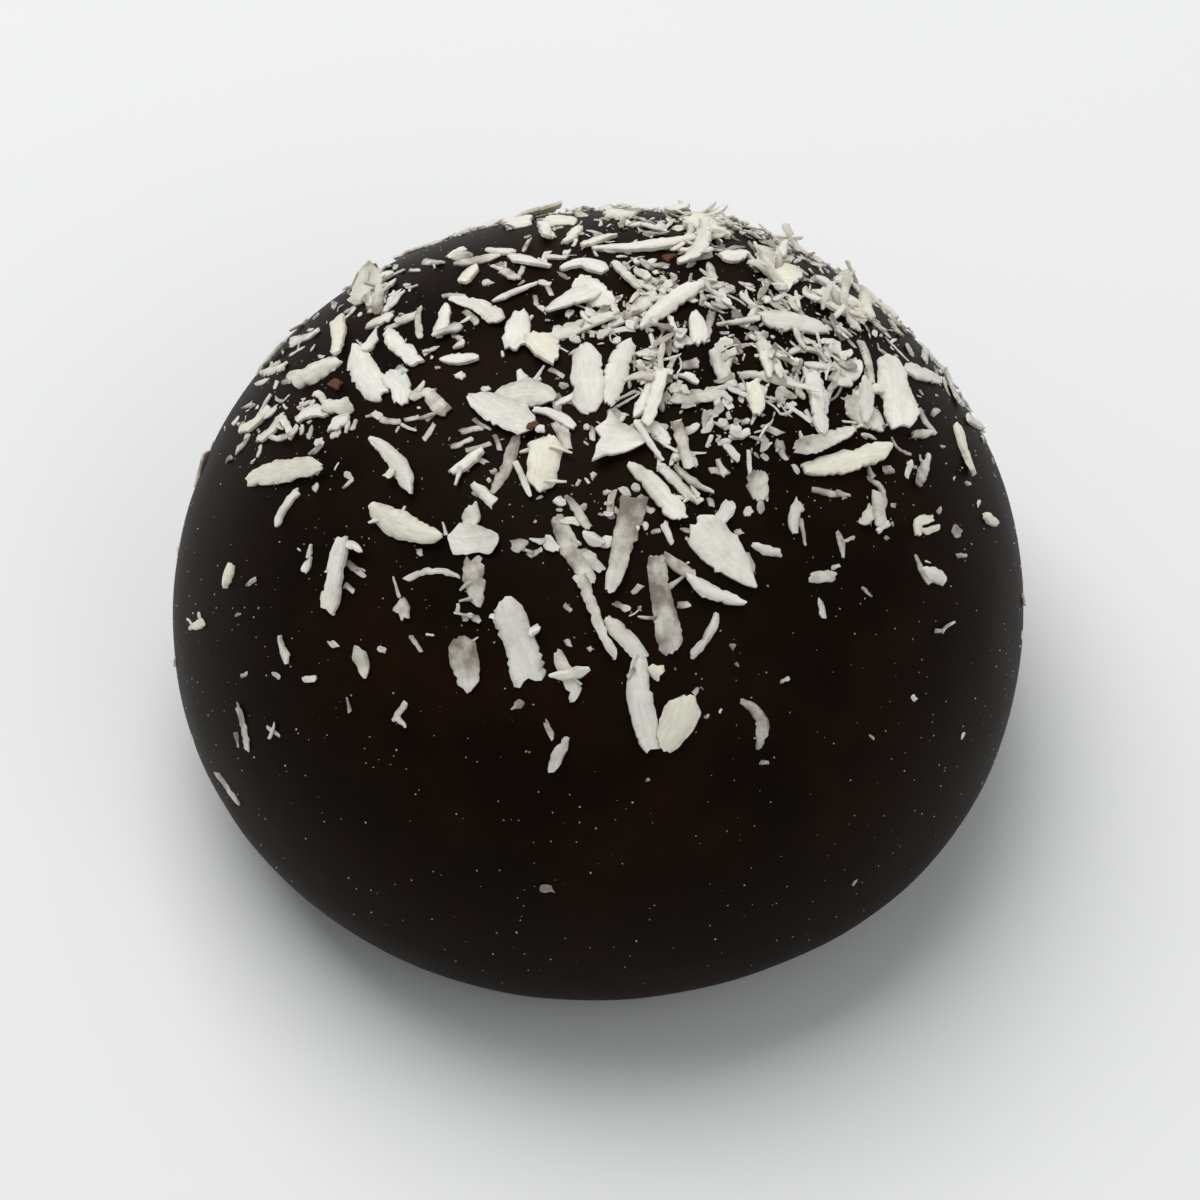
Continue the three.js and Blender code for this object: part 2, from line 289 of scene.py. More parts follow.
# The flakes that stand out: look, widths from one end to the other, set closer together near the
# ends, and the path as (across, up) in that view.
LARGE_FLAKES = [
    (CREAM, (0.8, 1.1, 1.3, 1.2, 0.4), (-23.1, 8.8), (-20.5, 9.4), (-17.9, 9.5)),
    (PLAIN, (0.8, 0.9, 0.9, 0.7), (-20.0, 15.0), (-17.2, 16.8)),
    (CREAM, (1.1, 1.1, 0.8, 0.6), (-17.1, 19.5), (-17.2, 17.0)),
    (BRIGHT, (0.6, 1.6, 2.1, 1.8, 0.9), (-16.1, 17.8), (-15.7, 16.2), (-14.2, 14.5)),
    (BRIGHT, (0.6, 1.1, 1.1, 0.9), (-14.2, 18.7), (-12.0, 16.5)),
    (BRIGHT, (0.3, 0.7, 1.2, 1.1, 0.2), (-15.1, 11.8), (-13.4, 10.2), (-12.2, 8.0)),
    (CREAM, (0.8, 1.2, 1.7, 1.5, 1.0, 0.3), (-15.0, 7.1), (-12.9, 5.8), (-10.2, 5.1)),
    (BRIGHT, (0.7, 1.2, 1.2, 1.3, 1.2), (-16.7, 4.9), (-18.0, 0.4)),
    (CREAM, (0.3, 0.7, 0.6, 0.3), (-24.2, 3.4), (-24.7, 1.9)),
    (PLAIN, (0.8, 1.7, 1.6, 0.8), (-16.0, 21.0), (-14.0, 21.9)),
    (BRIGHT, (0.3, 0.5, 0.8, 1.0, 0.7), (-9.8, 20.7), (-8.3, 20.4), (-6.4, 19.3)),
    (BRIGHT, (0.9, 1.5, 1.7, 1.4), (-5.2, 19.9), (-5.5, 17.5)),
    (CREAM, (1.1, 1.7, 1.9, 1.1), (-4.5, 18.5), (-2.9, 16.7)),
    (BRIGHT, (0.3, 1.1, 1.9, 1.9, 1.0), (-8.6, 14.4), (-6.4, 13.2), (-4.2, 12.4)),
    (CREAM, (1.0, 2.0, 2.2, 1.7, 0.4), (-3.5, 11.8), (-3.7, 10.2), (-4.1, 8.1)),
    (BRIGHT, (0.5, 2.0, 2.0, 1.8, 1.4), (-9.9, 5.2), (-8.5, 5.0), (-6.9, 5.3)),
    (PALE, (1.2, 1.2, 1.4, 0.9, 0.3), (-8.4, 3.8), (-8.1, 0.6)),
    (BRIGHT, (1.3, 2.1, 2.0, 2.1, 1.9), (-6.3, 0.9), (-4.5, -4.2)),
    (PALE, (0.6, 1.6, 1.9, 1.5, 0.5), (-9.2, -1.4), (-8.6, -5.0)),
    (PLAIN, (0.8, 0.8, 0.9, 0.9), (-2.8, -2.4), (-1.5, -5.3)),
    (PLAIN, (0.3, 0.7, 0.7, 0.5), (-2.2, -7.9), (-3.3, -10.3)),
    (BRIGHT, (0.3, 0.5, 0.7, 0.6, 0.5), (-0.5, 24.3), (3.0, 24.4), (6.6, 24.6)),
    (CREAM, (0.8, 1.8, 1.6, 0.7), (5.8, 25.9), (8.2, 24.4)),
    (BRIGHT, (0.6, 1.3, 1.6, 1.1, 0.4), (-1.5, 22.2), (-0.5, 21.2), (0.9, 20.5)),
    (BRIGHT, (1.0, 2.0, 2.2, 1.8, 0.9), (-0.9, 17.4), (-0.7, 13.4)),
    (BRIGHT, (3.5, 2.9, 1.3, 0.2), (-0.2, 11.6), (2.9, 11.4)),
    (BRIGHT, (0.4, 0.9, 1.2, 1.0, 0.5), (2.5, 19.1), (4.5, 20.4), (6.5, 21.5)),
    (BRIGHT, (0.4, 0.9, 1.2, 1.1), (6.2, 19.9), (6.6, 17.9)),
    (PLAIN, (0.5, 0.9, 1.3, 1.6, 0.8), (2.1, 10.2), (5.4, 6.4)),
    (PALE, (1.9, 1.6, 1.3, 1.1, 0.6), (2.3, 8.0), (1.6, 4.8), (0.6, 1.5)),
    (PALE, (0.9, 1.3, 1.2, 0.8), (-3.0, 6.5), (-0.6, 2.0)),
    (GREY, (0.9, 1.2, 1.5, 1.7, 1.7, 1.2), (3.8, 4.0), (4.0, 1.0), (4.9, -2.3)),
    (BRIGHT, (1.2, 2.5, 2.6, 1.8, 0.8, 0.2), (6.2, 6.2), (8.1, 4.2), (10.2, 1.8)),
    (BRIGHT, (0.9, 1.2, 1.6, 1.7, 1.4, 1.0), (2.6, -2.6), (2.6, -5.2), (3.5, -8.8)),
    (CREAM, (0.8, 1.6, 2.2, 2.2, 1.1), (4.1, -8.7), (4.9, -7.2), (5.8, -5.3)),
    (PALE, (0.4, 0.7, 0.9, 0.5), (9.3, -5.6), (10.5, -6.5), (10.6, -8.8)),
    (CREAM, (1.1, 2.0, 1.7, 0.8), (9.8, 22.6), (12.9, 21.6)),
    (CREAM, (1.0, 2.2, 2.4, 1.4), (14.0, 21.0), (17.2, 19.8)),
    (BRIGHT, (0.8, 1.2, 1.2, 0.9), (10.5, 19.2), (14.7, 19.0)),
    (BRIGHT, (0.9, 1.8, 2.0, 2.1, 1.4), (19.0, 16.9), (19.6, 12.2)),
    (BRIGHT, (1.1, 1.1, 1.0, 1.1, 0.7), (14.0, 16.2), (14.5, 11.8)),
    (PLAIN, (0.8, 1.2, 1.1, 0.9, 0.4), (12.6, 10.6), (16.8, 12.1)),
    (CREAM, (0.7, 1.2, 1.5, 1.2, 0.4), (13.6, 9.4), (19.1, 10.9)),
    (PALE, (0.7, 1.4, 1.4, 0.7), (10.5, 9.6), (10.5, 7.7)),
]


def coat_seen_at(places):
    """The coat behind (across, up) places in the view, and the way it faces there."""
    eye = TO_VIEWER * VIEW_DISTANCE
    target = places[..., :1] * np.array([1.0, 0, 0]) + places[..., 1:] * VIEW_UP
    squeeze = np.array([1, 1, WIDTH / 2 / (HEIGHT - BELLY)])
    start = eye * squeeze
    sight = unit((target - eye) * squeeze)
    near = sight @ start
    depth = np.sqrt(np.maximum(near**2 - start @ start + (WIDTH / 2) ** 2, 0))
    hit = start - sight * (near + depth)[..., None]
    climb = np.arcsin(np.clip(hit[..., 2] / (WIDTH / 2), -1, 1))
    return coat_at(np.arctan2(hit[..., 1], hit[..., 0]), climb)


def way_along(points):
    """How far along a line each of its points lies."""
    steps = np.linalg.norm(np.diff(points, axis=0), axis=1)
    return np.concatenate([[0], np.cumsum(steps)])


def line_seen(path):
    """A smooth line on the coat through the places of a path, and the way the coat faces."""
    path = np.array(path)
    reached = way_along(path)
    curve = np.polyfit(reached / reached[-1], path, len(path) - 1)
    shares = np.linspace(0, 1, LINE_POINTS)
    return coat_seen_at(np.stack([np.polyval(column, shares) for column in curve.T], axis=-1))


def torn_edge(share, length, width, draw):
    """How far one long edge reaches at each station, as a share of half the width. It runs straight
    between a few corners, as brittle flesh tears, with a little fraying and a few nicks."""
    corners = 1 + int(length / CORNER_STEP) + draw.integers(2)
    places = np.concatenate([[0], np.sort(draw.uniform(*CORNERS_BETWEEN, corners)), [1]])
    reaches = 1 + RAGGED * draw.uniform(-1, 1, corners + 2)
    fraying = draw.normal(0, min(FRAYED, FRAYED_SHARE * width), share.shape)
    nicks = min(NICK, NICK_SHARE * width) * (draw.uniform(0, 1, share.shape) < NICKED)
    return np.interp(share, places, reaches) + (fraying - nicks) / (width / 2)


def cut_flake(length, widths, thickness, draw):
    """A torn strip lying flat, as grids over its stations and columns: places along and across it,
    and the heights of its upper and its under face."""
    widest = max(widths)
    stations = int(np.clip(round(length / STATION), *STATIONS))
    columns = 3 + 2 * sum(widest > wide for wide in WIDE)
    share = np.linspace(0, 1, stations)[:, None]
    from_middle = 2 * share - 1
    side = np.linspace(-1, 1, columns)[None, :]
    edges = [torn_edge(share, length, widest, draw) for _ in range(2)]
    nearer_ends = (1 - np.cos(np.linspace(0, math.pi, len(widths)))) / 2
    breadth = np.interp(share, nearer_ends, widths)
    across = side * breadth / 2 * np.where(side < 0, *edges)
    across = across + draw.normal(0, BENT) * length * from_middle**2
    slant = draw.uniform(-SLANT, SLANT, (2, 1)) * side
    frayed = draw.uniform(-TEAR, TEAR, (2, columns)) + CORNER * side**4 * [[1], [-1]]
    reach = (slant + frayed) * np.minimum([[widths[0]], [widths[-1]]], WIDE_END)
    along = share * length + reach[:1] * (1 - share) ** 4 + reach[1:] * share**4
    fibres = draw.normal(0, RIDGE, (1, columns)) + draw.normal(0, RIDGE, (stations, columns))
    cup = draw.uniform(*CUP) * widest * side**2
    bow = draw.uniform(*BOW) * length * from_middle**2
    middle = fibres + cup + bow
    half = min(thickness, THICKEST * widest) / 2 * (1 - ROUNDED * side**8)
    half = half * (1 - ROUNDED * from_middle**8)
    return along, across, middle + half, middle - half


def strip_faces(stations, columns):
    """The faces of a closed strip, whose upper corners come first and then its under ones."""
    upper = np.arange(stations * columns).reshape(stations, columns)
    under = upper + stations * columns
    faces = []

    def skin(a, b, c, d):
        faces.extend(np.stack([a.ravel(), b.ravel(), c.ravel(), d.ravel()], axis=1).tolist())

    skin(upper[:-1, :-1], upper[1:, :-1], upper[1:, 1:], upper[:-1, 1:])
    skin(under[:-1, :-1], under[:-1, 1:], under[1:, 1:], under[1:, :-1])
    skin(under[:-1, 0], under[1:, 0], upper[1:, 0], upper[:-1, 0])
    skin(under[1:, -1], under[:-1, -1], upper[:-1, -1], upper[1:, -1])
    skin(under[0, 1:], under[0, :-1], upper[0, :-1], upper[0, 1:])
    skin(under[-1, :-1], under[-1, 1:], upper[-1, 1:], upper[-1, :-1])
    return faces


def both_faces(values):
    """Lists what is the same for the upper and the under corners of a strip."""
    return np.tile(values, (2, 1, 1)).reshape(-1, 3)


class Heap:
    """Flakes laid on the coat one after the other, and how high they have piled up."""

    def __init__(self, seed):
        self.draw = np.random.default_rng(seed)
        self.corners, self.faces, self.grain, self.looks = [], [], [], []
        self.count = 0
        self.tops = {}

    def lay(self, look, widths, line, rise=0.0):
        """Lays a flake along a line on the coat. Its widths are as seen from in front, and rise is
        how far its far end stands up."""
        (points, facing), (tint, thickness), draw = line, look, self.draw
        reached = way_along(points)
        length = reached[-1]
        aside = unit(np.cross(facing, np.gradient(points, axis=0)))
        seen = np.sqrt(1 - (aside.mean(axis=0) @ TO_VIEWER) ** 2)
        widen = 1 / max(seen, NARROWEST_SEEN)
        thickness *= draw.uniform(*THICKNESSES)
        widths = np.atleast_1d(widths) * widen
        along, across, top, bottom = cut_flake(length, widths, thickness, draw)
        stations, columns = along.shape
        distance = np.linspace(0, length, stations)
        share = distance[:, None] / length

        def follow(values):
            return np.stack([np.interp(distance, reached, column) for column in values.T], axis=-1)

        middle, outward = follow(points), unit(follow(facing))
        forward = unit(np.gradient(middle, axis=0))
        sideways = unit(np.cross(outward, forward))
        roll = draw.normal(0, ROLL) + draw.normal(0, TWIST) * (share - 0.5)
        base = thickness / 2 - SINK + np.abs(across).max() * np.abs(np.sin(roll)) * PROP
        tilt = draw.normal(0, TILT) * length
        base = base + np.abs(tilt) / 2 + tilt * (share - 0.5)
        base = base + self.pile_under(middle) + rise * share**1.5
        if not rise:
            self.pile_on(middle, (base + top).mean(axis=1))
        beyond = along - distance[:, None]
        for height in (top, bottom):
            aslant = across * np.cos(roll) - height * np.sin(roll)
            upward = across * np.sin(roll) + height * np.cos(roll) + base
            places = (
                middle[:, None]
                + beyond[..., None] * forward[:, None]
                + aslant[..., None] * sideways[:, None]
                + upward[..., None] * outward[:, None]
            )
            self.corners.append(places.reshape(-1, 3))
        apart = np.full_like(along, GRAIN_STEP * len(self.looks))
        self.grain.append(both_faces(np.stack([along, across, apart], axis=-1)))
        side = np.linspace(-1, 1, columns)[:, None]
        fading = 1 + draw.uniform(*FADING) * (1 - 2 * share[..., None])
        looks = tint * np.where([1, 0, 0], fading, 1) + THIN_EDGE * side**4
        self.looks.append(both_faces(looks))
        faces = strip_faces(stations, columns)
        self.faces += [[corner + self.count for corner in face] for face in faces]
        self.count += 2 * along.size

    def fray(self, look, line, width, slivers):
        """Adds slivers that stick out of a flake's sides, as many on average as slivers says."""
        (points, facing), draw = line, self.draw
        forward = unit(np.gradient(points, axis=0))
        aside = unit(np.cross(facing, forward))
        for _ in range(draw.poisson(slivers)):
            spot, hand = draw.integers(len(points)), draw.choice([-1, 1])
            away = unit(hand * aside[spot] + draw.normal(0, SLIVER_SLANT) * forward[spot])
            start = points[spot] + hand * aside[spot] * width * SLIVER_ROOT
            reach = width * SLIVER_HIDDEN + draw.uniform(*SLIVER_LENGTH)
            path = start + away * np.linspace(0, reach, SLIVER_POINTS)[:, None]
            sliver = path, np.tile(facing[spot], (SLIVER_POINTS, 1))
            widths = draw.uniform(*SLIVER_WIDTH), SLIVER_TIP
            self.lay((look[0], SLIVER_THICKNESS), widths, sliver)

    def pile_under(self, middle):
        cells = map(tuple, np.round(middle / PILE_CELL).astype(int))
        return min(PILE_SHARE * max(self.tops.get(cell, 0.0) for cell in cells), PILE_TOP)

    def pile_on(self, middle, tops):
        for cell, top in zip(map(tuple, np.round(middle / PILE_CELL).astype(int)), tops):
            self.tops[cell] = max(self.tops.get(cell, 0.0), float(top))

    def make_piece(self, name, finish):
        mesh = bpy.data.meshes.new(name)
        mesh.from_pydata(np.concatenate(self.corners) * MM, [], self.faces)
        for label, values in (("grain", self.grain), ("look", self.looks)):
            layer = mesh.attributes.new(label, "FLOAT_VECTOR", "POINT")
            layer.data.foreach_set("vector", np.concatenate(values).ravel())
        mesh.shade_smooth()
        mesh.set_sharp_from_angle(angle=SHARP_EDGE)
        mesh.materials.append(finish)
        return add_object(name, mesh)


def add_math(tree, operation, *values, **settings):
    """The result of an arithmetic node."""
    values = enumerate(values)
    return add_node(tree, "ShaderNodeMath", values, operation=operation, **settings)


def make_coconut():
    """Off-white dried coconut with faint lengthwise fibres: cream where it is thick, and greyish
    where it is so thin that the chocolate shows through. grain holds the place along and across a
    flake in millimetres, and look how thin, creamy and brown it is."""
    finish, tree, shader = new_finish("dried_coconut")
    grain, look = (
        add_node(tree, "ShaderNodeAttribute", attribute_name=name).node.outputs["Vector"]
        for name in ("grain", "look")
    )
    thin, creamy, brown = add_node(tree, "ShaderNodeSeparateXYZ", {"Vector": look}).node.outputs
    stretched = add_node(tree, "ShaderNodeMapping", {"Vector": grain, "Scale": (0.8, 4.5, 1.0)})
    fibres = add_noise(tree, stretched, scale=1.0, detail=3.0, roughness=0.6)
    clouds = add_noise(tree, grain, scale=0.9, detail=3.0)
    pits = add_noise(tree, grain, scale=3.5, detail=3.0)
    uneven = fit_range(tree, clouds, (0.35, 0.7), (-0.4, 0.6))
    spread = add_math(tree, "ADD", thin, 0.2)  # even a thick flake is a little patchy
    clear = add_math(tree, "MULTIPLY_ADD", uneven, spread, thin, use_clamp=True)
    white, cream = (0.86, 0.825, 0.735, 1), (0.85, 0.81, 0.645, 1)
    # The brown is the coconut's own skin, and on one chip it is a painted shadow.
    greyish, skin_and_shadow_brown = (0.25, 0.215, 0.18, 1), (0.11, 0.035, 0.015, 1)
    flesh = mix_colours(tree, creamy, white, cream)
    sheer = mix_colours(tree, clear, flesh, greyish)
    streaks = fit_range(tree, fibres, (0.3, 0.7), (0.88, 1.05))
    streaked = mix_colours(tree, 1.0, sheer, streaks, blend_type="MULTIPLY")
    rough = add_bump(tree, pits, strength=0.6, depth=0.09 * MM)
    looks = {
        "Base Color": mix_colours(tree, brown, streaked, skin_and_shadow_brown),
        "Roughness": 0.7,
        "Specular IOR Level": 0.3,
        "Subsurface Weight": 0.4,
        "Subsurface Radius": (0.6 * MM, 0.55 * MM, 0.45 * MM),
        "Subsurface Scale": 1.0,
        "Normal": add_bump(tree, fibres, strength=0.4, depth=0.05 * MM, Normal=rough),
    }
    set_inputs(shader, looks)
    return finish


coconut = make_coconut()
large = Heap(seed=311)
for look, widths, *path in LARGE_FLAKES:
    line = line_seen(path)
    large.lay(look, widths, line)
    large.fray(look, line, np.mean(widths), slivers=0.5)
large_flakes = large.make_piece("large_coconut_flakes", coconut)
join_mochi(large_flakes)

# --- The smaller flakes -------------------------------------------------------------------------
# Slivers and chips of the same coconut, which lie apart on the bare chocolate or fill the gaps
# between the large flakes. The coat holds them where they fell.

SLIVERS_PER_MM = 0.35  # how many slivers a flake has on average, by its width

SMALL_FLAKES = [
    (PLAIN, (0.5, 0.5, 0.6), (-19.9, 8.3), (-20.7, 7.2), (-21.3, 6.0)),
    (PALE, 0.4, (-18.9, 8.3), (-18.5, 8.6)),
    (GREY, 0.25, (-16.9, 8.4), (-16.3, 9.1)),
    (GREY, 0.4, (-24.6, 10.2), (-24.2, 10.5)),
    (PLAIN, (0.4, 0.5, 0.35), (-16.6, 4.4), (-16.0, 4.5), (-15.4, 4.0)),
    (PALE, (0.4, 0.35, 0.3), (-16.7, 3.5), (-15.5, 2.6)),
    (PALE, (0.3, 0.15), (-16.1, 3.1), (-15.4, 3.0)),
    (PALE, (0.4, 0.3), (-16.9, 2.1), (-16.2, 1.6)),
    (PLAIN, (0.3, 0.55, 0.4), (-19.0, 3.9), (-19.5, 2.9)),
    (PLAIN, (0.45, 0.4, 0.4, 0.2), (-12.9, 2.4), (-10.8, 3.0), (-9.2, 2.6)),
    (PALE, (0.3, 1.1, 1.3), (-13.1, 1.2), (-13.1, -0.1)),
    (CREAM, (0.5, 0.65, 0.5), (-26.6, -0.7), (-26.0, -0.5)),
    (PALE, (0.4, 0.3), (-12.0, 4.5), (-11.9, 4.0)),
    (CREAM, (0.5, 0.6, 0.6), (-23.7, 12.1), (-22.6, 12.7), (-21.7, 13.7)),
    (PALE, 0.3, (-23.1, 12.0), (-23.4, 11.4), (-23.9, 10.8)),
    (PLAIN, (0.4, 0.5, 0.5), (-22.5, 11.5), (-21.5, 12.3), (-20.9, 13.1)),
    (PLAIN, (0.5, 0.5, 0.4), (-20.9, 13.0), (-20.4, 12.3), (-20.2, 11.5)),
    (PALE, (0.3, 0.4, 0.4), (-21.5, 11.6), (-20.5, 11.6), (-19.6, 12.3)),
    (BRIGHT, (0.4, 0.9, 0.4), (-19.8, 12.7), (-18.9, 13.4), (-18.1, 13.1)),
    (PLAIN, (0.5, 0.5, 0.3), (-18.8, 14.7), (-18.3, 14.3), (-18.1, 13.7)),
    (PALE, 0.3, (-19.8, 13.8), (-19.1, 14.1)),
    (BRIGHT, (0.6, 0.8, 0.5), (-17.8, 12.4), (-16.5, 12.9)),
    (PLAIN, 0.35, (-17.7, 11.8), (-17.1, 12.0)),
    (PALE, 0.25, (-16.4, 12.2), (-16.1, 12.9)),
    (PALE, (0.3, 0.4, 0.3), (-14.9, 13.3), (-14.2, 12.9), (-13.1, 12.8)),
    (PALE, 0.25, (-12.9, 12.9), (-11.9, 13.1)),
    (PALE, 0.25, (-11.5, 12.9), (-10.9, 13.4)),
    (PALE, (0.2, 0.3, 0.3), (-10.9, 12.7), (-11.6, 11.6)),
    (PLAIN, (0.3, 0.5), (-13.4, 9.5), (-13.7, 8.9)),
    (PLAIN, (0.2, 0.35, 0.5), (-21.0, -1.3), (-20.9, -2.0), (-20.4, -2.9)),
    (BRIGHT, 0.45, (-17.8, -1.9), (-17.3, -1.8)),
    (PALE, (0.3, 0.3, 0.2), (-12.6, -1.3), (-11.8, -2.4)),
    (PLAIN, (0.25, 0.35, 0.3), (-21.5, -3.8), (-21.0, -4.0)),
    (BRIGHT, (0.3, 0.45, 0.35), (-19.5, -4.2), (-18.7, -4.1)),
    (PALE, 0.25, (-23.6, -4.0), (-23.2, -3.8)),
    (PALE, 0.22, (-16.7, -5.4), (-16.5, -6.4)),
    (PLAIN, (0.4, 0.4, 0.25), (-12.8, -5.7), (-13.7, -6.9)),
    (PALE, (0.3, 0.45, 0.35), (-23.8, -5.9), (-23.4, -7.2), (-23.2, -8.8)),
    (GREY, 0.25, (-23.9, -7.6), (-23.8, -8.7)),
    (PLAIN, 0.22, (-21.9, -7.3), (-21.1, -7.9)),
    (PLAIN, 0.22, (-21.3, -7.1), (-21.7, -8.1)),
    (PALE, (0.5, 0.3), (-9.1, -0.2), (-8.4, 0.2)),
    (PALE, (0.4, 0.5, 0.3), (-8.4, 0.1), (-7.9, -0.4)),
    (BRIGHT, (0.5, 0.3), (-6.7, -0.1), (-7.3, 0.0)),
    (BRIGHT, (0.6, 0.3), (-4.6, -1.1), (-3.9, -0.8)),
    (BRIGHT, (0.2, 0.5, 0.7, 0.3), (-3.3, -3.9), (-2.0, -3.8), (-0.7, -3.4)),
    (PALE, 0.3, (-2.4, 0.8), (-1.9, 0.3)),
    (PALE, 0.35, (-2.2, -1.5), (-2.0, -2.0)),
    (PALE, 0.35, (-0.8, -2.3), (-0.5, -2.1)),
    (PLAIN, (0.8, 0.7, 0.6, 0.7), (-1.1, 2.8), (-0.6, 1.0), (0.1, -0.9), (1.3, -2.4)),
    (BRIGHT, (0.5, 1.0, 1.2, 0.8), (0.4, -0.2), (1.8, -1.6), (2.9, -2.7)),
    (CREAM, (0.7, 1.0, 0.7), (3.4, -3.3), (4.0, -4.0)),
    (PALE, (0.3, 0.25), (2.3, -3.4), (1.8, -4.0)),
    (PLAIN, (0.6, 0.5, 0.5, 0.3), (6.0, -2.6), (7.2, -1.2), (7.8, 0.2)),
    (GREY, 0.35, (8.7, -2.1), (8.9, -1.8)),
    (GREY, 0.3, (9.0, -3.3), (9.2, -3.1)),
    (PALE, 0.25, (6.9, -6.7), (7.2, -6.6)),
    (PALE, (0.2, 0.35), (6.5, -4.7), (6.2, -5.2)),
    (GREY, (0.4, 0.8, 0.7), (4.1, 4.0), (6.2, 2.5)),
    (BRIGHT, (0.4, 0.8, 0.8, 0.3), (5.5, 2.4), (7.4, 1.5), (9.5, 0.6)),
    (PALE, 0.3, (9.7, 4.3), (10.3, 3.0)),
    (PLAIN, (0.4, 0.6, 0.5), (10.1, 4.7), (12.0, 4.1)),
    (PLAIN, (0.8, 1.2, 1.1), (-8.4, 7.3), (-8.5, 5.6)),
    (GREY, (0.6, 0.9, 0.8), (-5.9, 4.6), (-4.8, 4.6)),
    (PALE, 0.35, (-4.7, 3.9), (-3.8, 4.4)),
    (PLAIN, (0.7, 0.8, 0.6), (-3.7, 5.1), (-2.8, 4.3)),
    (BRIGHT, (0.5, 0.8, 0.5), (-1.1, 5.3), (0.2, 4.7)),
    (PALE, (0.7, 0.9, 0.5), (-1.4, 4.4), (0.2, 3.0)),
    (PALE, (0.3, 0.6, 0.5), (-2.2, 8.0), (-1.4, 6.8), (-0.7, 5.7)),
    (PLAIN, (0.4, 0.6, 0.4), (-3.1, 7.6), (-2.2, 7.5)),
    (PLAIN, (0.3, 0.4), (2.1, 1.5), (2.7, 2.1)),
    (PALE, (0.4, 0.5, 0.5), (0.9, 0.9), (1.9, 0.4)),
    (PALE, (0.4, 0.45, 0.4), (5.1, 0.8), (6.0, 0.8)),
    (PLAIN, (0.6, 0.5, 0.3), (4.2, 6.2), (4.8, 4.8)),
    (PALE, 0.35, (7.3, 7.9), (7.5, 7.3)),
    (PALE, 0.35, (8.9, 5.5), (9.5, 5.7)),
    (GREY, 0.25, (7.9, 6.5), (8.5, 6.3)),
    (PLAIN, (0.5, 0.6, 0.7, 0.5), (4.1, 9.8), (5.3, 8.7), (6.5, 7.6)),
    (CREAM, (0.4, 0.6), (6.2, 7.9), (6.7, 7.4)),
    (PLAIN, (0.4, 0.6, 0.3), (4.8, 10.4), (5.6, 10.6), (6.5, 10.0)),
    (PALE, (0.3, 0.6, 0.3), (5.0, 9.9), (6.0, 8.9), (7.5, 8.3)),
    (PLAIN, (0.3, 0.4, 0.5), (7.7, 10.3), (8.3, 9.3)),
    (PLAIN, (0.3, 0.7, 0.4), (8.5, 11.7), (9.9, 12.2)),
    (PALE, 0.35, (9.3, 12.8), (9.9, 12.9)),
    (PALE, 0.25, (8.2, 12.4), (8.8, 12.6)),
    (PALE, (0.3, 0.6, 0.3), (4.9, 11.9), (5.7, 12.2), (6.5, 12.7)),
    (BRIGHT, 0.5, (4.7, 12.6), (5.4, 12.8)),
    (PLAIN, (0.4, 0.5), (7.5, 14.6), (7.8, 13.8)),
    (PALE, (0.5, 0.6), (7.0, 13.5), (7.6, 13.1)),
    (BRIGHT, (0.5, 0.8, 0.8, 0.4), (-9.8, 9.4), (-8.6, 10.2), (-7.6, 10.9)),
    (PLAIN, (0.4, 0.7, 0.8), (-8.4, 8.8), (-7.6, 8.0), (-6.9, 7.4)),
    (GREY, (0.5, 0.8, 0.7, 0.3), (-5.6, 11.9), (-6.1, 10.0), (-7.2, 8.2)),
    (PLAIN, (0.35, 0.5, 0.25), (-5.6, 10.2), (-5.0, 8.9), (-4.5, 7.8)),
    (PALE, 0.3, (-9.8, 11.1), (-8.4, 11.7)),
    (PALE, 0.35, (-9.3, 12.2), (-7.6, 12.5)),
    (GREY, 0.3, (-8.4, 13.0), (-7.2, 12.3)),
    (PALE, 0.25, (-8.9, 10.9), (-7.2, 11.4)),
    (GREY, 0.3, (-6.9, 12.0), (-6.6, 10.9)),
    (PLAIN, (0.4, 1.2, 1.7, 1.1, 0.4), (-7.0, 14.2), (-5.0, 14.6), (-2.9, 14.2)),
    (BRIGHT, (0.3, 0.7, 0.9), (-5.4, 16.2), (-4.8, 15.0)),
    (BRIGHT, 0.4, (-4.5, 15.3), (-3.9, 15.7)),
    (BRIGHT, (0.3, 0.5, 0.6, 0.3), (-4.4, 13.5), (-2.9, 13.2), (-1.7, 12.3)),
    (PALE, (0.5, 0.8, 0.6), (-2.9, 12.8), (-2.0, 11.0)),
    (BRIGHT, 0.45, (-4.1, 12.0), (-3.6, 12.0)),
    (SKIN_AND_SHADOW, (0.5, 0.4), (-4.6, 12.0), (-4.0, 12.3)),
    (BRIGHT, (0.5, 0.25), (-1.6, 14.5), (-3.0, 13.9)),
    (PALE, 0.3, (-3.3, 16.3), (-2.3, 15.8)),
    (BRIGHT, (0.7, 1.2, 1.7, 1.3, 0.6), (1.7, 18.0), (1.2, 16.4), (0.2, 14.1)),
    (BRIGHT, (0.6, 1.1, 1.0, 0.4), (3.8, 15.8), (3.3, 14.6), (2.3, 13.1)),
    (PLAIN, (0.25, 0.35, 0.6, 0.4), (1.5, 15.1), (2.8, 15.6), (4.3, 15.3)),
    (BRIGHT, (0.9, 1.2, 0.7), (2.9, 13.0), (4.6, 11.5)),
    (BRIGHT, (0.5, 0.4, 0.25), (2.3, 12.7), (3.1, 11.6), (4.1, 10.2)),
    (PALE, 0.2, (1.1, 13.7), (2.6, 14.7)),
    (PALE, 0.2, (1.0, 14.2), (2.3, 14.9)),
    (PALE, 0.35, (-0.5, 12.5), (-0.5, 11.6)),
    (PLAIN, (0.4, 0.35), (-0.6, 9.1), (-0.3, 9.5)),
    (PALE, 0.3, (0.2, 8.1), (0.7, 8.3)),
    (PLAIN, 0.35, (2.9, 6.2), (3.1, 5.8)),
    (PALE, 0.3, (3.4, 5.6), (4.0, 5.7)),
    (PALE, (0.3, 0.4), (2.9, 7.3), (3.6, 6.9)),
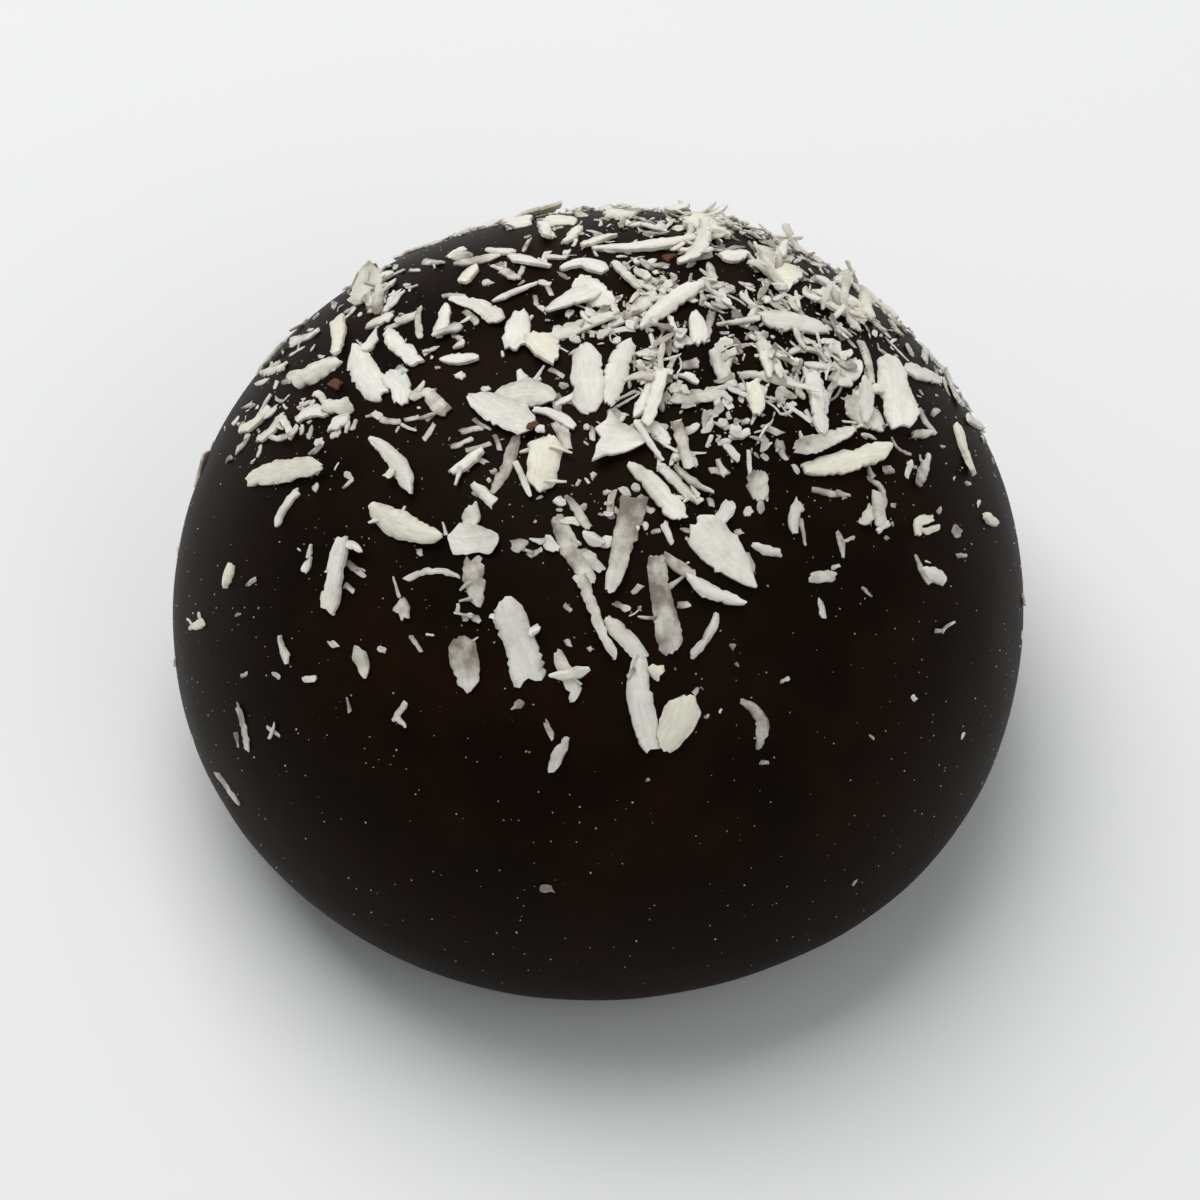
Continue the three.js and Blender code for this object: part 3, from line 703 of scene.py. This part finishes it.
    (GREY, (0.6, 0.7), (5.2, 16.5), (6.5, 16.8)),
    (PLAIN, 0.3, (4.5, 16.1), (4.9, 17.1)),
    (BRIGHT, (0.6, 0.4), (5.4, 16.0), (6.5, 15.5)),
    (PLAIN, (0.4, 0.35, 0.25), (5.3, 15.6), (5.1, 14.8), (4.6, 13.9)),
    (PLAIN, (0.3, 0.5, 0.3), (2.4, 17.2), (4.1, 17.5)),
    (PALE, 0.2, (2.0, 16.8), (3.9, 16.6)),
    (PLAIN, (0.5, 0.7), (7.7, 17.7), (8.6, 17.0)),
    (PLAIN, (0.6, 0.4, 0.3), (8.5, 17.0), (8.3, 16.0), (8.5, 15.0)),
    (PALE, (0.35, 0.5), (7.5, 16.5), (8.4, 16.9)),
    (PLAIN, (0.4, 0.5, 0.8, 0.5), (9.1, 15.9), (11.0, 15.8), (12.9, 15.1)),
    (GREY, (0.4, 0.6, 0.4), (8.9, 17.8), (10.8, 18.0)),
    (PALE, (0.5, 0.4), (11.0, 17.8), (12.1, 16.9)),
    (PLAIN, (0.3, 0.35, 0.4), (7.6, 18.8), (10.4, 19.2)),
    (PALE, 0.3, (11.1, 14.2), (12.2, 14.4)),
    (PLAIN, 0.35, (12.2, 13.7), (12.9, 14.0)),
    (PALE, 0.25, (10.2, 13.6), (10.9, 13.2)),
    (PALE, (0.5, 0.6, 0.3), (11.8, 11.6), (12.0, 10.9), (12.4, 10.3)),
    (PALE, (0.3, 0.5, 0.25), (17.7, 9.0), (18.5, 8.5), (18.7, 7.2)),
    (PALE, (0.3, 0.5, 0.2), (14.0, 8.4), (14.9, 8.2), (16.6, 8.0)),
    (PALE, (0.5, 0.6), (18.6, 9.5), (19.2, 9.7)),
    (PLAIN, (0.8, 0.8, 0.5), (13.2, 7.5), (12.9, 6.6), (12.9, 5.5)),
    (PALE, (0.3, 0.25, 0.15), (13.3, 6.5), (13.7, 4.7)),
    (PLAIN, (0.5, 0.9, 0.4), (17.9, 7.3), (17.7, 6.5), (17.1, 6.2)),
    (BRIGHT, (0.4, 0.5), (18.2, 5.5), (18.9, 6.1)),
    (PALE, 0.3, (18.9, 5.1), (19.1, 5.3)),
    (CREAM, (0.4, 0.6, 0.6), (21.8, 6.2), (20.9, 6.1), (21.1, 5.4)),
    (CREAM, (0.5, 0.3), (21.1, 5.4), (22.0, 5.7)),
    (CREAM, (0.5, 0.7, 0.5), (25.3, 6.6), (26.0, 6.1)),
    (GREY, 0.3, (24.1, 8.7), (24.5, 8.7)),
    (PALE, (0.2, 0.4, 0.3), (20.9, 4.1), (21.3, 3.2), (21.9, 2.1)),
    (PALE, 0.3, (23.6, 4.0), (24.2, 4.0)),
    (PALE, 0.35, (22.3, 6.8), (22.5, 7.0)),
    (PALE, (0.3, 0.4, 0.2), (15.7, 5.6), (16.0, 4.8), (16.2, 3.9)),
    (PALE, 0.25, (16.0, 4.9), (16.9, 5.2)),
    (PALE, 0.25, (15.4, 3.2), (16.0, 3.4)),
    (PALE, 0.25, (12.0, -4.4), (12.6, -4.1)),
    (PALE, (0.3, 0.2), (10.6, -9.7), (11.2, -9.7)),
    (PALE, 0.25, (22.3, -1.0), (22.8, -1.0)),
    (GREY, 0.2, (3.0, -10.8), (3.3, -10.8)),
    (BRIGHT, 0.6, (-15.6, 17.6), (-14.5, 18.3)),
    (BRIGHT, (0.7, 1.4, 1.3, 1.0), (-14.0, 15.9), (-13.3, 15.3), (-13.0, 13.9)),
    (PLAIN, (0.4, 0.6, 0.5), (-15.3, 19.1), (-13.7, 19.8)),
    (PLAIN, (0.5, 0.5, 0.2), (-13.4, 19.3), (-12.4, 19.8), (-11.7, 20.4)),
    (PALE, (0.3, 0.4, 0.5), (-11.9, 20.3), (-12.0, 19.3), (-11.9, 18.3)),
    (BRIGHT, (0.5, 0.9, 0.9, 0.4), (-10.1, 20.5), (-10.4, 19.4), (-10.6, 18.3)),
    (GREY, 0.4, (-8.9, 20.2), (-8.0, 19.3)),
    (PALE, 0.3, (-10.4, 21.2), (-8.8, 21.1)),
    (PALE, 0.6, (-13.4, 16.4), (-12.7, 16.0)),
    (PLAIN, (0.4, 0.7, 0.3), (-12.4, 14.1), (-11.5, 14.8), (-10.9, 14.8)),
    (PLAIN, 0.3, (-11.7, 17.5), (-10.9, 17.5)),
    (PLAIN, (0.6, 0.5), (-9.6, 17.7), (-9.0, 18.1)),
    (GREY, 0.4, (-9.8, 18.6), (-9.2, 18.3)),
    (BRIGHT, 0.5, (-9.5, 15.7), (-9.0, 16.0)),
    (PLAIN, 0.4, (-7.8, 14.8), (-7.4, 15.1)),
    (PLAIN, (0.6, 0.5), (-20.3, 17.8), (-18.5, 18.7)),
    (PALE, 0.5, (-21.7, 16.3), (-21.1, 16.6)),
    (PALE, 0.4, (-21.0, 15.4), (-20.3, 15.5)),
    (PALE, 0.4, (-23.4, 13.7), (-23.0, 14.0)),
    (PALE, 0.4, (-16.7, 20.1), (-16.2, 20.4)),
    (SKIN_AND_SHADOW, (0.5, 0.7), (-17.7, 15.4), (-17.0, 15.1)),
    (PALE, 0.6, (-11.7, 23.4), (-10.3, 23.3)),
    (CREAM, 0.5, (-10.1, 23.7), (-9.0, 24.4)),
    (PALE, (0.2, 0.5, 0.4, 0.2), (-9.6, 23.0), (-8.2, 23.4), (-6.6, 23.8)),
    (PALE, 0.3, (-7.8, 21.9), (-7.1, 22.1)),
    (PALE, 0.3, (-12.6, 22.8), (-11.9, 22.8)),
    (BRIGHT, (0.3, 0.9, 0.6, 0.4), (-6.1, 23.7), (-4.9, 23.4), (-3.4, 22.9)),
    (PALE, 0.3, (-5.4, 22.4), (-5.1, 23.1)),
    (PLAIN, (0.2, 0.6, 0.5, 0.3), (-7.1, 20.7), (-5.7, 21.3), (-4.1, 21.7)),
    (PALE, 0.35, (-6.8, 23.1), (-6.2, 23.3)),
    (PALE, 0.3, (-3.6, 22.0), (-3.2, 21.2)),
    (PALE, 0.3, (-4.3, 21.2), (-4.2, 20.5)),
    (PALE, 0.3, (-5.1, 24.2), (-4.6, 24.9)),
    (CREAM, (0.3, 0.8, 0.7), (-2.4, 24.7), (-1.4, 25.7)),
    (CREAM, 0.5, (-3.6, 25.6), (-3.1, 25.1)),
    (PLAIN, 0.35, (-3.5, 23.8), (-2.2, 23.7)),
    (CREAM, (0.3, 0.6, 0.5), (-1.2, 24.3), (0.0, 24.9), (1.0, 25.2)),
    (BRIGHT, (0.3, 0.7, 1.2, 0.6), (-2.5, 22.8), (-1.1, 23.4), (0.2, 22.8)),
    (BRIGHT, (0.3, 0.7, 1.2, 0.9), (-3.3, 19.6), (-1.9, 20.5), (-0.3, 21.2)),
    (PLAIN, (0.3, 0.6, 0.8, 0.4), (0.6, 19.0), (2.4, 20.2), (3.7, 21.3)),
    (BRIGHT, (0.8, 0.9, 0.8, 0.4), (6.6, 24.9), (6.3, 23.5), (5.1, 22.9)),
    (PALE, (0.5, 0.4), (7.3, 20.0), (7.0, 18.0)),
    (PLAIN, (0.4, 0.3), (4.5, 19.7), (5.0, 18.4)),
    (BRIGHT, (0.4, 1.3, 1.2, 0.5), (15.4, 15.2), (16.2, 15.7), (16.9, 16.7)),
    (BRIGHT, (0.9, 1.2, 0.8, 0.4), (20.0, 16.3), (21.0, 15.9), (22.2, 15.3)),
    (CREAM, (0.4, 0.7, 0.6), (16.6, 14.2), (17.4, 14.7), (18.4, 14.8)),
    (PLAIN, (0.8, 1.5, 1.6, 0.9), (16.0, 13.3), (17.4, 13.2), (18.5, 12.3)),
    (PALE, (0.7, 0.6, 0.4), (17.2, 18.0), (17.6, 16.8), (17.8, 15.2)),
    (CREAM, (0.8, 0.7), (17.0, 20.8), (17.2, 19.2)),
    (PLAIN, (0.3, 0.4, 0.35), (12.4, 17.2), (13.8, 17.5), (15.3, 16.3)),
    (BRIGHT, 0.4, (13.3, 16.4), (15.0, 16.2)),
    (BRIGHT, (0.5, 0.3), (14.9, 14.6), (14.8, 13.3)),
    (PALE, (0.3, 0.35, 0.25), (20.9, 13.6), (21.4, 12.8), (22.0, 11.9)),
    (PLAIN, (0.4, 0.6, 0.3), (20.5, 11.8), (21.8, 12.0)),
    (GREY, 0.4, (21.8, 13.2), (22.2, 13.5)),
    (PALE, 0.2, (19.3, 11.8), (19.7, 11.0), (20.5, 10.7)),
    (PALE, 0.2, (21.1, 10.6), (21.2, 10.0)),
    (PALE, 0.2, (20.3, 9.9), (20.9, 9.8)),
    (SKIN_AND_SHADOW, 0.5, (4.2, 23.6), (4.8, 23.8)),
    # This brown chip is a painted shadow: it lies where shade falls under the pale flake's upper
    # end.
    (SKIN_AND_SHADOW, 0.4, (1.2, 7.5), (1.8, 7.6)),
]

small = Heap(seed=52)
small.tops = large.tops
for look, widths, *path in SMALL_FLAKES:
    line, width = line_seen(path), np.mean(widths)
    small.lay(look, widths, line)
    small.fray(look, line, width, slivers=SLIVERS_PER_MM * width)
small_flakes = small.make_piece("small_coconut_flakes", coconut)
join_mochi(small_flakes)

# --- The strewn coconut flakes ------------------------------------------------------------------
# The same coconut, in shorter flakes that fell at random: thickest round a heart behind the crown,
# thinner from there down the sides. They too stuck fast as the coat set.

STREWN_LENGTH = 1.8, 4.4
STREWN_WIDTH = 0.7, 1.5
STREWN_LOOKS = BRIGHT, PLAIN, PLAIN, PALE, CREAM  # in turn
SLIMMER = 0.8  # a torn flake is this much slimmer than the plain slab that stands for it
ROOM = 2.05  # clear distance that a strewn flake keeps from the large ones
SPOTS = 760  # places tried, evenly spread
LOWEST_SPOT = -0.35  # sine of the lowest slope on which coconut has caught
HEART = unit(np.array([0.2, 0.35, 0.9]))
HEART_SIZE = 0.3  # radians round the heart with the full cover
COVER_SIZE = 1.1  # radians from the heart to where the cover has thinned out
FULL_COVER = 0.6  # share of the spots that hold a flake at the heart
EDGE_COVER = 0.025  # and on the lower sides
STREWING_SEED = 1859
GOLDEN_ANGLE = math.pi * (3 - math.sqrt(5))
TAPERED_ENDS = 0.35  # the share of the flakes' ends that taper off
TAPERED_WIDTH = 0.15, 0.5  # of an end that tapers off, as a share of the flake's width
BLUNT_WIDTH = 0.65, 0.95  # of an end that doesn't
MIDDLE_WIDTHS = (0.85, 1.1), (0.8, 1.05)  # of the two places between the ends
SHORT_LINE_POINTS = 8


def make_draws(seed):
    """Repeatable draws between 0 and 1, by the minimal standard generator."""
    state = seed
    while True:
        state = state * 16807 % 2147483647
        yield state / 2147483647


def cover_at(outward):
    """The share of the spots that hold a flake, where the dome's middle lies behind outward."""
    away = np.arccos(np.clip(outward @ HEART, -1, 1))
    thinning = smooth_step(away, HEART_SIZE, COVER_SIZE)
    return FULL_COVER + (EDGE_COVER - FULL_COVER) * thinning


def line_through(point, facing, heading, length):
    """A line on the coat through a point, which bends down with the dome on either side."""
    forward = np.array([math.cos(heading), math.sin(heading), 0])
    forward = unit(forward - facing * (forward @ facing))
    away = np.linspace(-length / 2, length / 2, SHORT_LINE_POINTS)[:, None]
    bent = away / (WIDTH / 2)
    return point + forward * away - facing * away * bent / 2, unit(facing + forward * bent)


def torn_widths(width, draw):
    """The widths of a flake from one end to the other, where an end may taper off."""
    tapered = draw.uniform(0, 1, 2) < TAPERED_ENDS
    first, last = np.where(tapered, draw.uniform(*TAPERED_WIDTH, 2), draw.uniform(*BLUNT_WIDTH, 2))
    middle = [draw.uniform(*shares) for shares in MIDDLE_WIDTHS]
    return width * np.array([first, *middle, last])


taken = np.concatenate(
    [
        coat_seen_at(np.array([path[0], (np.array(path[0]) + path[-1]) / 2, path[-1]]))[0]
        for _, _, *path in LARGE_FLAKES
    ]
)
strewn = Heap(seed=87)
strewn.tops = large.tops
draws = make_draws(STREWING_SEED)
for spot in range(SPOTS):
    climb = math.asin(1 + (LOWEST_SPOT - 1) * (spot + 0.5) / SPOTS)
    turn = spot * GOLDEN_ANGLE
    point, facing = coat_at(np.float64(turn), np.float64(climb))
    holds = next(draws) < cover_at(round_dome(turn, math.cos(climb), math.sin(climb)))
    heading = 2 * math.pi * next(draws)
    length = np.interp(next(draws) ** 2, (0, 1), STREWN_LENGTH)
    width = np.interp(next(draws), (0, 1), STREWN_WIDTH)
    free = np.linalg.norm(taken - point, axis=1).min() > ROOM
    if holds and free:
        widths = torn_widths(width * SLIMMER, strewn.draw)
        line = line_through(point, facing, heading, length)
        strewn.lay(STREWN_LOOKS[spot % len(STREWN_LOOKS)], widths, line)
strewn_flakes = strewn.make_piece("strewn_coconut_flakes", coconut)
join_mochi(strewn_flakes)

# --- The tufts ----------------------------------------------------------------------------------
# Shreds of the same coconut that caught on one another as they fell and stand up in tufts. Each
# sticks in the coat by one end.

# Where the tufts stand in the view: across, up, how far they reach, and how many shreds they have.
TUFTS = [
    (-15.0, 21.4, 1.2, 14),
    (7.0, 25.4, 1.6, 20),
    (15.5, 20.4, 1.4, 12),
    (11.5, 23.6, 1.6, 10),
]
TUFT_LENGTH = 1.0, 2.6
TUFT_WIDTH = 0.25, 0.8
TUFT_RISE = 0.1, 1.2
TUFT_LOOKS = BRIGHT, PLAIN, PALE

tufts = Heap(seed=64)
for across, up, reach, count in TUFTS:
    for _ in range(count):
        place = np.array([across, up]) + tufts.draw.normal(0, reach / 2, 2)
        heading, length = tufts.draw.uniform(0, 2 * math.pi), tufts.draw.uniform(*TUFT_LENGTH)
        line = line_through(*coat_seen_at(place), heading, length)
        look = TUFT_LOOKS[tufts.draw.integers(len(TUFT_LOOKS))]
        widths = torn_widths(tufts.draw.uniform(*TUFT_WIDTH), tufts.draw)
        tufts.lay(look, widths, line, rise=tufts.draw.uniform(*TUFT_RISE))
tuft_shreds = tufts.make_piece("coconut_tufts", coconut)
join_mochi(tuft_shreds)

# --- Shreds, crumbs and dust --------------------------------------------------------------------
# What breaks off dried coconut: fine shreds, crumbs and dust. It lies in drifts among the flakes
# and thins out over the bare chocolate.

# Where the drifts lie in the view: across, up, how far they reach, and how thick they are.
DRIFTS = [
    (8.0, 22.0, 7.0, 1.0),
    (15.0, 18.0, 5.5, 0.7),
    (4.0, 18.0, 5.0, 0.6),
    (3.0, 13.0, 4.0, 0.2),
    (12.0, 15.0, 4.5, 0.45),
    (3.0, 24.5, 4.5, 0.1),
    (-6.0, 11.5, 4.0, 0.12),
    (-2.0, 8.0, 4.5, 0.1),
    (-16.0, 15.0, 5.0, 0.15),
    (-21.0, 13.5, 3.0, 0.25),
    (-8.0, 20.0, 5.0, 0.03),
    (-15.0, 21.5, 1.8, 0.4),
    (1.0, 4.0, 4.5, 0.15),
    (18.0, 11.0, 4.5, 0.07),
    (6.0, 8.5, 3.5, 0.15),
    (19.0, 6.5, 4.0, 0.04),
    (-4.0, 2.0, 20.0, 0.006),
    (13.0, 0.0, 7.0, 0.01),
]
DRIFTED = 1.7  # how thickly fine coconut lies in a drift of 1
BACK_COVER = 1.1  # how thick the drifts lie on the far side, beside the flakes' own cover
TURNED_AWAY = 0.02, 0.3  # cosines between which the coat turns from the far side to the view
CLUMP_SIZE = 2.4  # fine coconut gathers in clumps about this far apart
CLUMPS = -0.3, 0.35  # from bare to full in the slow noise that they follow
CAUGHT = LOWEST_SPOT, 0.1  # from none to all that falls there, by how far the coat faces up
SHRED_THICKNESS = 0.13
SHRED_CURL = 0.15  # how far shreds bend sideways
CHIP_LENGTH = 0.5, 0.85  # shreds go from wide short chips ...
CHIP_WIDTH = 0.45, 0.7
NEEDLE_LONGER = 1.3  # ... to needles, which are this much longer
NEEDLE_SLIMMER = 0.33
CRUMB_WIDTH = 0.35, 0.5  # as a share of its length
CRUMB_THICKNESS = 0.35
GRAIN_CORNERS = 0.6, 1.1  # how far out the corners of a grain of dust lie
GRAIN_SIZES = [0.7, 0.5, 0.4], 1.1  # the least that its three sizes can be, and the most
PER_SQUARE_MM = 1 / MM**2


def drift_at(points, facing):
    """How thickly fine coconut lies on the coat, from 0 to about 1."""
    offset = points - np.array([0, 0, BELLY])
    scale = VIEW_DISTANCE / (VIEW_DISTANCE - offset @ TO_VIEWER)
    across, up = offset[:, 0] * scale, offset @ VIEW_UP * scale
    front = sum(
        share * np.exp(-((across - x) ** 2 + (up - y) ** 2) / reach**2)
        for x, y, reach, share in DRIFTS
    )
    back = BACK_COVER * cover_at(unit(offset * [1, 1, WIDTH / 2 / (HEIGHT - BELLY)]))
    seen = smooth_step(facing @ TO_VIEWER, *TURNED_AWAY)
    clumps = np.array([noise.noise(Vector(p) / CLUMP_SIZE) for p in points])
    return (front * seen + back * (1 - seen)) * DRIFTED * smooth_step(clumps, *CLUMPS)


def new_shape(name, places, faces, grain):
    mesh = bpy.data.meshes.new(name)
    mesh.from_pydata(places * MM, [], faces)
    mesh.attributes.new("grain", "FLOAT_VECTOR", "POINT").data.foreach_set("vector", grain.ravel())
    return bpy.data.objects.new(name, mesh)


def strip_corners(along, across, top, bottom):
    """The corners of a strip that lies flat, the upper ones first."""
    faces = [np.stack([along, across, height], axis=-1) for height in (top, bottom)]
    return np.concatenate(faces).reshape(-1, 3)


def shred_shapes(count, draw):
    """Short thin strips of unlike length and width, from chips to curled needles."""
    for number in range(count):
        slender = number / count
        length = draw.uniform(*CHIP_LENGTH) + NEEDLE_LONGER * slender**1.5
        width = draw.uniform(*CHIP_WIDTH) - NEEDLE_SLIMMER * slender**0.7
        widths = torn_widths(width, draw)
        along, across, top, bottom = cut_flake(length, widths, SHRED_THICKNESS, draw)
        along -= length / 2
        across += draw.normal(0, SHRED_CURL) * along**2
        places = strip_corners(along, across, top, bottom)
        grain = both_faces(np.stack([along, across, np.full_like(along, number)], axis=-1))
        yield new_shape(f"shred_{number}", places, strip_faces(*along.shape), grain)


def crumb_shapes(count, draw):
    """Angular crumbs, one millimetre long before they are scaled."""
    for number in range(count):
        widths = torn_widths(draw.uniform(*CRUMB_WIDTH), draw)
        along, across, top, bottom = cut_flake(1.0, widths, CRUMB_THICKNESS, draw)
        places = strip_corners(along - 0.5, across, top, bottom)
        yield new_shape(f"crumb_{number}", places, strip_faces(*along.shape), places + number)


def dust_shapes(count, draw):
    """Grains of unlike proportions, one millimetre across before they are scaled."""
    for number in range(count):
        grain = bmesh.new()
        bmesh.ops.create_icosphere(grain, subdivisions=1, radius=0.5)
        corners = np.array([corner.co for corner in grain.verts])
        faces = [[corner.index for corner in face.verts] for face in grain.faces]
        grain.free()
        corners *= draw.uniform(*GRAIN_CORNERS, (len(corners), 1)) * draw.uniform(*GRAIN_SIZES)
        yield new_shape(f"grain_{number}", corners, faces, corners + number)


def strewing_tree():
    """Strews shapes over a coat as thickly as its drift says, leaning and turned at random, and the
    higher the thicker the drift is."""
    tree = bpy.data.node_groups.new("strew_on_coat", "GeometryNodeTree")
    for name, kind in (
        ("Coat", "Geometry"),
        ("Shapes", "Collection"),
        ("Thickness", "Float"),
        ("Bare share", "Float"),
        ("Smallest", "Float"),
        ("Largest", "Float"),
        ("Lift", "Float"),
        ("Lean", "Float"),
        ("Sheer", "Float"),
        ("Finish", "Material"),
        ("Seed", "Int"),
    ):
        tree.interface.new_socket(name, in_out="INPUT", socket_type=f"NodeSocket{kind}")
    tree.interface.new_socket("Strewn", in_out="OUTPUT", socket_type="NodeSocketGeometry")
    given = tree.nodes.new("NodeGroupInput").outputs

    def kept_on_coat(name):
        named = {"Name": name}
        return add_node(tree, "GeometryNodeInputNamedAttribute", named, data_type="FLOAT")

    def drawn(low, high, number, kind="FLOAT"):
        """A draw for each point. Its number keeps it apart from the other draws."""
        seed = add_math(tree, "ADD", given["Seed"], number)
        limits = {"Min": low, "Max": high, "Seed": seed}
        return add_node(tree, "FunctionNodeRandomValue", limits, data_type=kind)

    def turned(rotation, turn):
        inputs = {"Rotation": rotation, "Rotate By": turn}
        return add_node(tree, "FunctionNodeRotateRotation", inputs, rotation_space="LOCAL")

    drift = kept_on_coat("drift")
    thick = add_math(tree, "ADD", drift, given["Bare share"])
    held = add_math(tree, "MULTIPLY", thick, kept_on_coat("caught"))
    density = add_math(tree, "MULTIPLY", held, given["Thickness"])
    points = add_node(
        tree,
        "GeometryNodeDistributePointsOnFaces",
        {"Mesh": given["Coat"], "Density": density, "Seed": given["Seed"]},
    )
    heaped = add_math(tree, "MULTIPLY", drift, drawn(0.0, given["Lift"], 1))
    outwards = {"Vector": points.node.outputs["Normal"], "Scale": heaped}
    lift = add_node(tree, "ShaderNodeVectorMath", outwards, operation="SCALE")
    raised = add_node(tree, "GeometryNodeSetPosition", {"Geometry": points, "Offset": lift})
    other_way = add_math(tree, "MULTIPLY", given["Lean"], -1)
    leans = {"X": drawn(other_way, given["Lean"], 2), "Y": drawn(other_way, given["Lean"], 3)}
    lean = add_node(tree, "ShaderNodeCombineXYZ", leans)
    spin = add_node(tree, "ShaderNodeCombineXYZ", {"Z": drawn(0.0, 2 * math.pi, 4)})
    shapes = add_node(
        tree,
        "GeometryNodeCollectionInfo",
        {"Collection": given["Shapes"], "Separate Children": True, "Reset Children": True},
    )
    placed = add_node(
        tree,
        "GeometryNodeInstanceOnPoints",
        {
            "Points": raised,
            "Instance": shapes,
            "Pick Instance": True,
            "Instance Index": drawn(0, 1000, 5, "INT"),
            "Rotation": turned(turned(points.node.outputs["Rotation"], spin), lean),
            "Scale": drawn(given["Smallest"], given["Largest"], 6),
        },
    )
    # How thin, creamy and brown each is: drawn evenly and then squared, so that few are very thin.
    thickest = add_node(tree, "ShaderNodeCombineXYZ", {"X": given["Sheer"]})
    even = drawn(thickest, (1.0, 0.8, 0.0), 7, "FLOAT_VECTOR")
    look = add_node(tree, "ShaderNodeVectorMath", {0: even, 1: even}, operation="MULTIPLY")
    coloured = add_node(
        tree,
        "GeometryNodeStoreNamedAttribute",
        {"Geometry": placed, "Name": "look", "Value": look},
        data_type="FLOAT_VECTOR",
        domain="INSTANCE",
    )
    joined = add_node(tree, "GeometryNodeRealizeInstances", {"Geometry": coloured})
    finish = {"Geometry": joined, "Material": given["Finish"]}
    leaving = tree.nodes.new("NodeGroupOutput")
    set_inputs(leaving, {"Strewn": add_node(tree, "GeometryNodeSetMaterial", finish)})
    return tree


def strew(name, shapes, tree, **inputs):
    """Strews shapes over the coat and keeps what falls on it as a plain mesh piece."""
    folder = bpy.data.collections.new(name + "_shapes")
    for shape in shapes:
        folder.objects.link(shape)
    ground = add_object(name + "_ground", coat.data)
    strewing = ground.modifiers.new("strewing", "NODES")
    strewing.node_group = tree
    given = dict(inputs, Shapes=folder, Finish=coconut)
    for socket in tree.interface.items_tree:
        if socket.name.replace(" ", "_") in given:
            strewing[socket.identifier] = given[socket.name.replace(" ", "_")]
    seen = ground.evaluated_get(bpy.context.evaluated_depsgraph_get())
    mesh = bpy.data.meshes.new_from_object(seen)
    mesh.name = name
    bpy.data.objects.remove(ground)
    for shape in list(folder.objects):
        bpy.data.objects.remove(shape)
    bpy.data.collections.remove(folder)
    return add_object(name, mesh)


def keep_on_coat(name, values):
    coat.data.attributes.new(name, "FLOAT", "POINT").data.foreach_set("value", values)


keep_on_coat("drift", drift_at(coat_points, coat_facing))
keep_on_coat("caught", smooth_step(coat_facing[:, 2], *CAUGHT))
tree = strewing_tree()
shape_draw = np.random.default_rng(29)
shreds = strew(
    "coconut_shreds",
    shred_shapes(count=24, draw=shape_draw),
    tree,
    Thickness=1.5 * PER_SQUARE_MM,
    Bare_share=0.0,
    Smallest=0.6,
    Largest=1.4,
    Lift=0.4 * MM,
    Lean=0.3,
    Sheer=0.0,
    Seed=5,
)
crumbs = strew(
    "coconut_crumbs",
    crumb_shapes(count=8, draw=shape_draw),
    tree,
    Thickness=1.1 * PER_SQUARE_MM,
    Bare_share=0.004,
    Smallest=0.2,
    Largest=0.7,
    Lift=0.2 * MM,
    Lean=0.8,
    Sheer=0.0,
    Seed=6,
)
dust = strew(
    "coconut_dust",
    dust_shapes(count=4, draw=shape_draw),
    tree,
    Thickness=1.3 * PER_SQUARE_MM,
    Bare_share=0.2,
    Smallest=0.06,
    Largest=0.2,
    Lift=0.02 * MM,
    Lean=3.0,
    Sheer=0.75,
    Seed=7,
)
for piece in (shreds, crumbs, dust):
    join_mochi(piece)

# --- Floor, light and camera --------------------------------------------------------------------
# A plain pale table under a large soft light, with pale surroundings. The camera looks down on the
# mochi from in front. The table and the lights are in metres.

FLOOR_SIZE = 3.0
FLOOR_GAP = 0.01 * MM  # keeps the table clear of the flat spot
VIEW_CENTRE = 1.0  # how far above the dome's middle the camera aims, in millimetres up the view
LENS = 158.0

floor_mesh = bpy.data.meshes.new("table")
half = FLOOR_SIZE / 2
floor_corners = [(-half, -half), (half, -half), (half, half), (-half, half)]
floor_mesh.from_pydata([(x, y, -FLOOR_GAP) for x, y in floor_corners], [], [(0, 1, 2, 3)])
table_finish, _, table_shader = new_finish("pale_table")
table_looks = {"Base Color": (0.86, 0.86, 0.85, 1), "Roughness": 0.8, "Specular IOR Level": 0.2}
set_inputs(table_shader, table_looks)
floor_mesh.materials.append(table_finish)
floor = add_object("table", floor_mesh)


def add_soft_light(name, size, watts, place):
    light = bpy.data.lights.new(name, "AREA")
    light.size = size
    light.energy = watts
    lamp = add_object(name, light)
    lamp.location = place
    lamp.rotation_euler = (-Vector(place)).to_track_quat("-Z", "Y").to_euler()


add_soft_light("soft_light", size=0.5, watts=3.0, place=(-0.12, 0.2, 0.58))
add_soft_light("fill_light", size=0.4, watts=0.5, place=(0.3, -0.35, 0.45))
world = bpy.data.worlds.new("pale_surroundings")
world.use_nodes = True
sky = {"Color": (0.94, 0.97, 1.0, 1), "Strength": 0.34}
set_inputs(world.node_tree.nodes["Background"], sky)
bpy.context.scene.world = world
bpy.context.scene.view_settings.view_transform = "Standard"

aim = np.array([0, 0, BELLY]) + VIEW_UP * VIEW_CENTRE
camera = add_object("camera", bpy.data.cameras.new("camera"))
camera.data.lens = LENS
camera.data.clip_start = 0.01
camera.location = (aim + TO_VIEWER * VIEW_DISTANCE) * MM
camera.rotation_euler = (QUARTER - VIEW_LIFT, 0, 0)
bpy.context.scene.camera = camera
